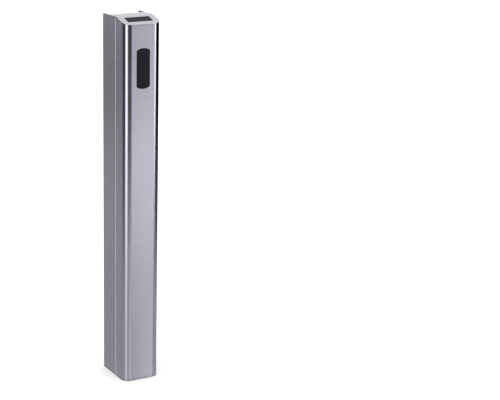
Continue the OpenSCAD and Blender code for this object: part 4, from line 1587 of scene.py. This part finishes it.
    def build_wires(self) -> list[Piece]:
        """Makes the wires in their colours, with the sleeves on their ends.

        Returns:
            The pieces.
        """
        low = self.rail_z + 24
        length = self.supply_low - low
        profile = [(0.0, self.sleeve_r), (self.sleeve_l, self.sleeve_r),
                   (self.sleeve_l + 0.6, self.wire_r), (length - self.sleeve_l - 0.6, self.wire_r),
                   (length - self.sleeve_l, self.sleeve_r), (length, self.sleeve_r)]
        pieces = []
        supply = (("live", BROWN_SHEATH), ("neutral", BLUE), ("earth", EARTH))
        for i, (name, finish) in enumerate(supply):
            x = self.block_x + (i + 1) * self.block_pitch + self.block_w / 2
            spot = (x, SHAPE.row_y(self.wire_y), low)
            nodes = ("supply_wires",) if i == 0 else ()
            wire = Solid.turned(profile, spot, Along.Z, 20)
            pieces.append(wire.piece(f"{name}_wire", "column", finish, nodes))
        for x, finish, name in ((-4.0, RED, "plus_wire"), (4.0, SHEATH, "minus_wire")):
            nodes = ("board_wires",) if x < 0 else ()
            spot = (x, SHAPE.row_y(self.board_wire_y), self.supply_high)
            wire = Solid.rod(spot, self.wire_r, Along.Z, self.board.low + 1 - self.supply_high, 20)
            pieces.append(wire.eased(0.1).piece(name, "column", finish, nodes))
        return pieces

    def build(self) -> list[Piece]:
        """Makes every piece of the equipment.

        Returns:
            The pieces.
        """
        pieces = eased_nodes("column", {
            "equipment_plate": (ZINC, 0.3),
            "plate_spacers": (BRASS, 0.25),
            "plate_screws": (POLISHED, 0.25),
            "din_rail": (ZINC, 0.15),
            "scanner_lead": (SHEATH, 0.1),
            "lead_clip": (WHITE, 0.2),
            "earth_stud": (POLISHED, 0.25),
        })
        pieces += self.build_supply() + self.board.build() + self.build_blocks()
        return pieces + self.build_breaker() + self.build_wires()


@dataclass
class ScannerModule:
    """Scanner under the window, with its bracket and pivots."""

    def build(self) -> list[Piece]:
        """Makes every piece of the scanner.

        Returns:
            The pieces.
        """
        fixed = {"scanner_bracket": ZINC, "bracket_screws": POLISHED, "scanner_pivots": POLISHED}
        moving = {
            "scanner_housing": BLACK, "scanner_glass": RED_GLASS, "scanner_lens": BLACK,
            "scanner_leds": CHIP, "scanner_board": BOARD, "scanner_rear_cover": BLACK,
            "scanner_socket": WHITE,
        }
        pieces = [eased_node(node, "column", look, 0.25) for node, look in fixed.items()]
        pieces += [eased_node(node, "scanner", look, 0.3) for node, look in moving.items()]
        return pieces


# ---- Studio ------------------------------------------------------------------------------------


@dataclass(frozen=True)
class Card:
    """Stretch of the reflection wall, with its brightness on the floor and up the wall.

    Azimuths are degrees from straight in front, towards the left wall.
    """

    start: float
    end: float
    floor: float
    levels: tuple[float, float, float, float]

    def tone(self, level: int) -> float:
        """Brightness of a row of the wall, where row 0 is the floor."""
        return self.levels[min(level, len(self.levels)) - 1] if level else self.floor


@dataclass
class Studio:
    """Camera, pale floor, even light, and the wall of cards that the steel mirrors."""

    camera_place: Triple = (-1.588, -3.174, 1.534)
    yaw_deg: float = 26.54
    pitch_deg: float = -16.275
    lens: float = 98.5
    roll_deg: float = 0.15
    shift: float = 0.2385
    sky: float = 1.46
    mirrored_sky: float = 1.0
    reach: float = 0.95
    wall_levels: tuple[float, ...] = (0.0, 0.10, 0.25, 0.40, 0.60)
    wall_top: float = 1.85
    wall_sway: float = 0.95
    wall_lift: float = 0.0006
    side_spots: int = 6
    front_spots: int = 8
    turn_step: int = 2
    right_turn: int = 62
    rear_azimuths: tuple[float, ...] = (-165, -180, -195, -206)
    dome_r: float = 20.0
    floor_half: float = 40.0
    floor_tone: float = 0.94
    floor_dull: float = 0.9
    # Shares of the mirrored floor's tone by distance from the foot; the dim share at the foot is a
    # painted contact shadow in the steel's reflections.
    floor_steps: tuple[tuple[float, float], ...] = (
        (0.0, 0.25), (0.006, 0.8), (0.012, 1.1), (0.10, 1.0), (0.4, 1.0))
    cards: tuple[Card, ...] = (
        Card(-180, -53, 0.48, (0.12, 0.06, 0.03, 0.0)),
        Card(-50, -36, 0.36, (0.10, 0.28, 1.5, 2.3)),
        Card(-33, -27.5, 0.74, (0.82, 1.06, 1.24, 0.64)),
        Card(-26.6, -22, 0.50, (0.64, 0.90, 1.08, 0.56)),
        Card(-18, 8, 0.68, (0.66, 0.40, 0.16, 0.02)),
        Card(14, 34, 0.46, (0.46, 0.30, 0.12, 0.02)),
        Card(37, 66, 0.76, (1.05, 1.45, 1.7, 1.75)),
        Card(69, 95, 0.44, (0.22, 0.07, 0.02, 0.0)),
        Card(125, 180, 0.38, (0.39, 0.40, 0.36, 0.235)),
    )

    def place_camera(self) -> None:
        """Makes the scene's camera."""
        camera = bpy.data.objects.new("camera", bpy.data.cameras.new("camera"))
        camera.data.lens = self.lens
        camera.data.shift_x = self.shift
        camera.location = self.camera_place
        turn = Matrix.Rotation(-math.radians(self.yaw_deg), 3, "Z")
        turn @= Matrix.Rotation(math.radians(90 + self.pitch_deg), 3, "X")
        turn @= Matrix.Rotation(math.radians(self.roll_deg), 3, "Z")
        camera.rotation_euler = turn.to_euler()
        bpy.context.scene.collection.objects.link(camera)
        bpy.context.scene.camera = camera

    def tone_at(self, azimuth: float, level: int) -> float:
        """Brightness of the wall at an azimuth, where level 0 is the floor.

        Args:
            azimuth: degrees from straight in front, towards the left wall.
            level: row of the wall.

        Returns:
            The brightness, blended between neighbouring cards.
        """
        azimuth = (azimuth + 180) % 360 - 180
        before = self.cards[-1]
        for card in self.cards:
            tone = card.tone(level)
            if azimuth <= card.end:
                if azimuth >= card.start:
                    return tone
                last = before.tone(level)
                share = (azimuth - before.end) / (card.start - before.end)
                return last + (tone - last) * share
            before = card
        return tone

    def foot_rays(self) -> list[Triple]:
        """Points round the foot, each with the azimuth of what the wall there should mirror.

        Returns:
            Places along X and Y in metres with azimuths in degrees, going round once.
        """
        run = (SHAPE.half - SHAPE.corner_r) * MM
        front = SHAPE.row_y(SHAPE.corner_r) * MM
        rear = SHAPE.depth / 2 * MM
        radius = SHAPE.corner_r * MM
        spots = [(-SHAPE.half * MM, rear + (front - rear) * i / self.side_spots, 90.0)
                 for i in range(self.side_spots)]
        for turn in range(90, -1, -self.turn_step):
            t = math.radians(turn)
            spots.append((-run - radius * math.sin(t), front - radius * math.cos(t), float(turn)))
        spots += [(-run + 2 * run * i / self.front_spots, front - radius, 0.0)
                  for i in range(1, self.front_spots)]
        for turn in range(0, -self.right_turn - 1, -self.turn_step):
            t = math.radians(turn)
            spots.append((run - radius * math.sin(t), front - radius * math.cos(t), float(turn)))
        rays = []
        for x, y, turn in spots:
            towards = math.degrees(math.atan2(x - self.camera_place[0], y - self.camera_place[1]))
            rays.append((x, y, 2 * turn - towards))
        rays += [(rear, rear, azimuth) for azimuth in self.rear_azimuths]
        return rays

    def build_wall(self) -> Piece:
        """Makes the wall of cards with its floor, which only reflections see.

        Returns:
            The piece.
        """
        shape = bmesh.new()
        layer = shape.loops.layers.float_color.new("tone")
        rays = self.foot_rays()
        rows = [(distance, 0.0, 0, share) for distance, share in self.floor_steps]
        rows += [(self.reach, z, i, 1.0) for i, z in enumerate(self.wall_levels)]
        rows.append((self.reach, None, len(self.wall_levels), 1.0))
        grid = []
        for distance, height, _, _ in rows:
            ring = []
            for x, y, azimuth in rays:
                turn = math.radians(azimuth)
                z = self.wall_top + self.wall_sway * math.cos(turn) if height is None else height
                ring.append(shape.verts.new((x - distance * math.sin(turn),
                                             y - distance * math.cos(turn),
                                             z + self.wall_lift)))
            grid.append(ring)
        for r in range(len(rows) - 1):
            for i in range(len(rays)):
                j = (i + 1) % len(rays)
                corners = [(r, i), (r, j), (r + 1, j), (r + 1, i)]
                if len({tuple(grid[a][b].co) for a, b in corners}) < 4:
                    continue
                face = shape.faces.new([grid[a][b] for a, b in corners])
                for loop, (a, b) in zip(face.loops, corners):
                    tone = self.tone_at(rays[b][2], rows[a][2]) * rows[a][3]
                    loop[layer] = (tone, tone, tone, 1)
        return self._stand_mirrored("card_wall", shape, self._glow("cards", 1.0, layer.name))

    def build_dome(self) -> Piece:
        """Makes the even sky above the cards, which only reflections see.

        Returns:
            The piece.
        """
        shape = bmesh.new()
        bmesh.ops.create_icosphere(shape, subdivisions=4, radius=self.dome_r)
        return self._stand_mirrored("sky_dome", shape, self._glow("sky", self.mirrored_sky))

    def build_floor(self) -> Piece:
        """Makes the pale floor.

        Returns:
            The piece.
        """
        shape = bmesh.new()
        bmesh.ops.create_grid(shape, x_segments=1, y_segments=1, size=self.floor_half)
        material = bpy.data.materials.new("floor")
        material.use_nodes = True
        shader = material.node_tree.nodes["Principled BSDF"]
        shader.inputs["Base Color"].default_value = (*(self.floor_tone,) * 3, 1)
        shader.inputs["Roughness"].default_value = self.floor_dull
        floor = self._stand("floor", shape, material)
        floor.visible_glossy = False
        return floor

    def _glow(self, name: str, strength: float, layer: str = "") -> bpy.types.Material:
        """Makes a material that shines evenly, or in the tones of a colour layer.

        Args:
            name: name of the material.
            strength: its brightness.
            layer: name of the colour layer, where there is one.

        Returns:
            The material.
        """
        material = bpy.data.materials.new(name)
        material.use_nodes = True
        material.cycles.emission_sampling = "NONE"
        nodes, links = material.node_tree.nodes, material.node_tree.links
        nodes.clear()
        glow = nodes.new("ShaderNodeEmission")
        glow.inputs["Strength"].default_value = strength
        out = nodes.new("ShaderNodeOutputMaterial")
        links.new(glow.outputs[0], out.inputs["Surface"])
        if layer:
            tone = nodes.new("ShaderNodeVertexColor")
            tone.layer_name = layer
            links.new(tone.outputs["Color"], glow.inputs["Color"])
        return material

    def _stand(self, name: str, shape: bmesh.types.BMesh, material: bpy.types.Material) -> Piece:
        """Stands a mesh in the studio, apart from the column's own pieces.

        Args:
            name: name of the stand.
            shape: its working mesh, which is used up.
            material: its material.

        Returns:
            The stand.
        """
        mesh = bpy.data.meshes.new(name)
        shape.to_mesh(mesh)
        shape.free()
        mesh.materials.append(material)
        stand = bpy.data.objects.new(name, mesh)
        bpy.context.scene.collection.objects.link(stand)
        return stand

    def _stand_mirrored(self, name: str, shape: bmesh.types.BMesh,
                        material: bpy.types.Material) -> Piece:
        """Stands a mesh in the studio that only reflections see.

        Args:
            name: name of the stand.
            shape: its working mesh, which is used up.
            material: its material.

        Returns:
            The stand.
        """
        stand = self._stand(name, shape, material)
        for ray in ("camera", "diffuse", "shadow", "transmission", "volume_scatter"):
            setattr(stand, f"visible_{ray}", False)
        return stand

    def light_sky(self) -> None:
        """Lights everything evenly from all round."""
        world = bpy.data.worlds.new("sky")
        bpy.context.scene.world = world
        world.use_nodes = True
        background = world.node_tree.nodes["Background"]
        background.inputs["Color"].default_value = (1, 1, 1, 1)
        background.inputs["Strength"].default_value = self.sky
        world.cycles_visibility.glossy = False
        bpy.context.scene.view_settings.view_transform = "Standard"

    def build(self) -> None:
        """Sets up everything but the camera."""
        self.build_floor()
        self.build_wall()
        self.build_dome()
        self.light_sky()


def main() -> None:
    """Builds the column in the order that a fitter would put it together."""
    logging.basicConfig(level=logging.INFO, format="%(message)s")
    studio = Studio()
    studio.place_camera()
    count = 0
    for part in (InnerFrame(), SideWalls(), Equipment(), ScannerModule(), FrontCover(), TopCap()):
        made = part.build()
        count += len(made)
        LOG.info("%s: %d pieces", type(part).__name__, len(made))
    studio.build()
    LOG.info("%d pieces in all", count)


if __name__ == "__main__":
    main()
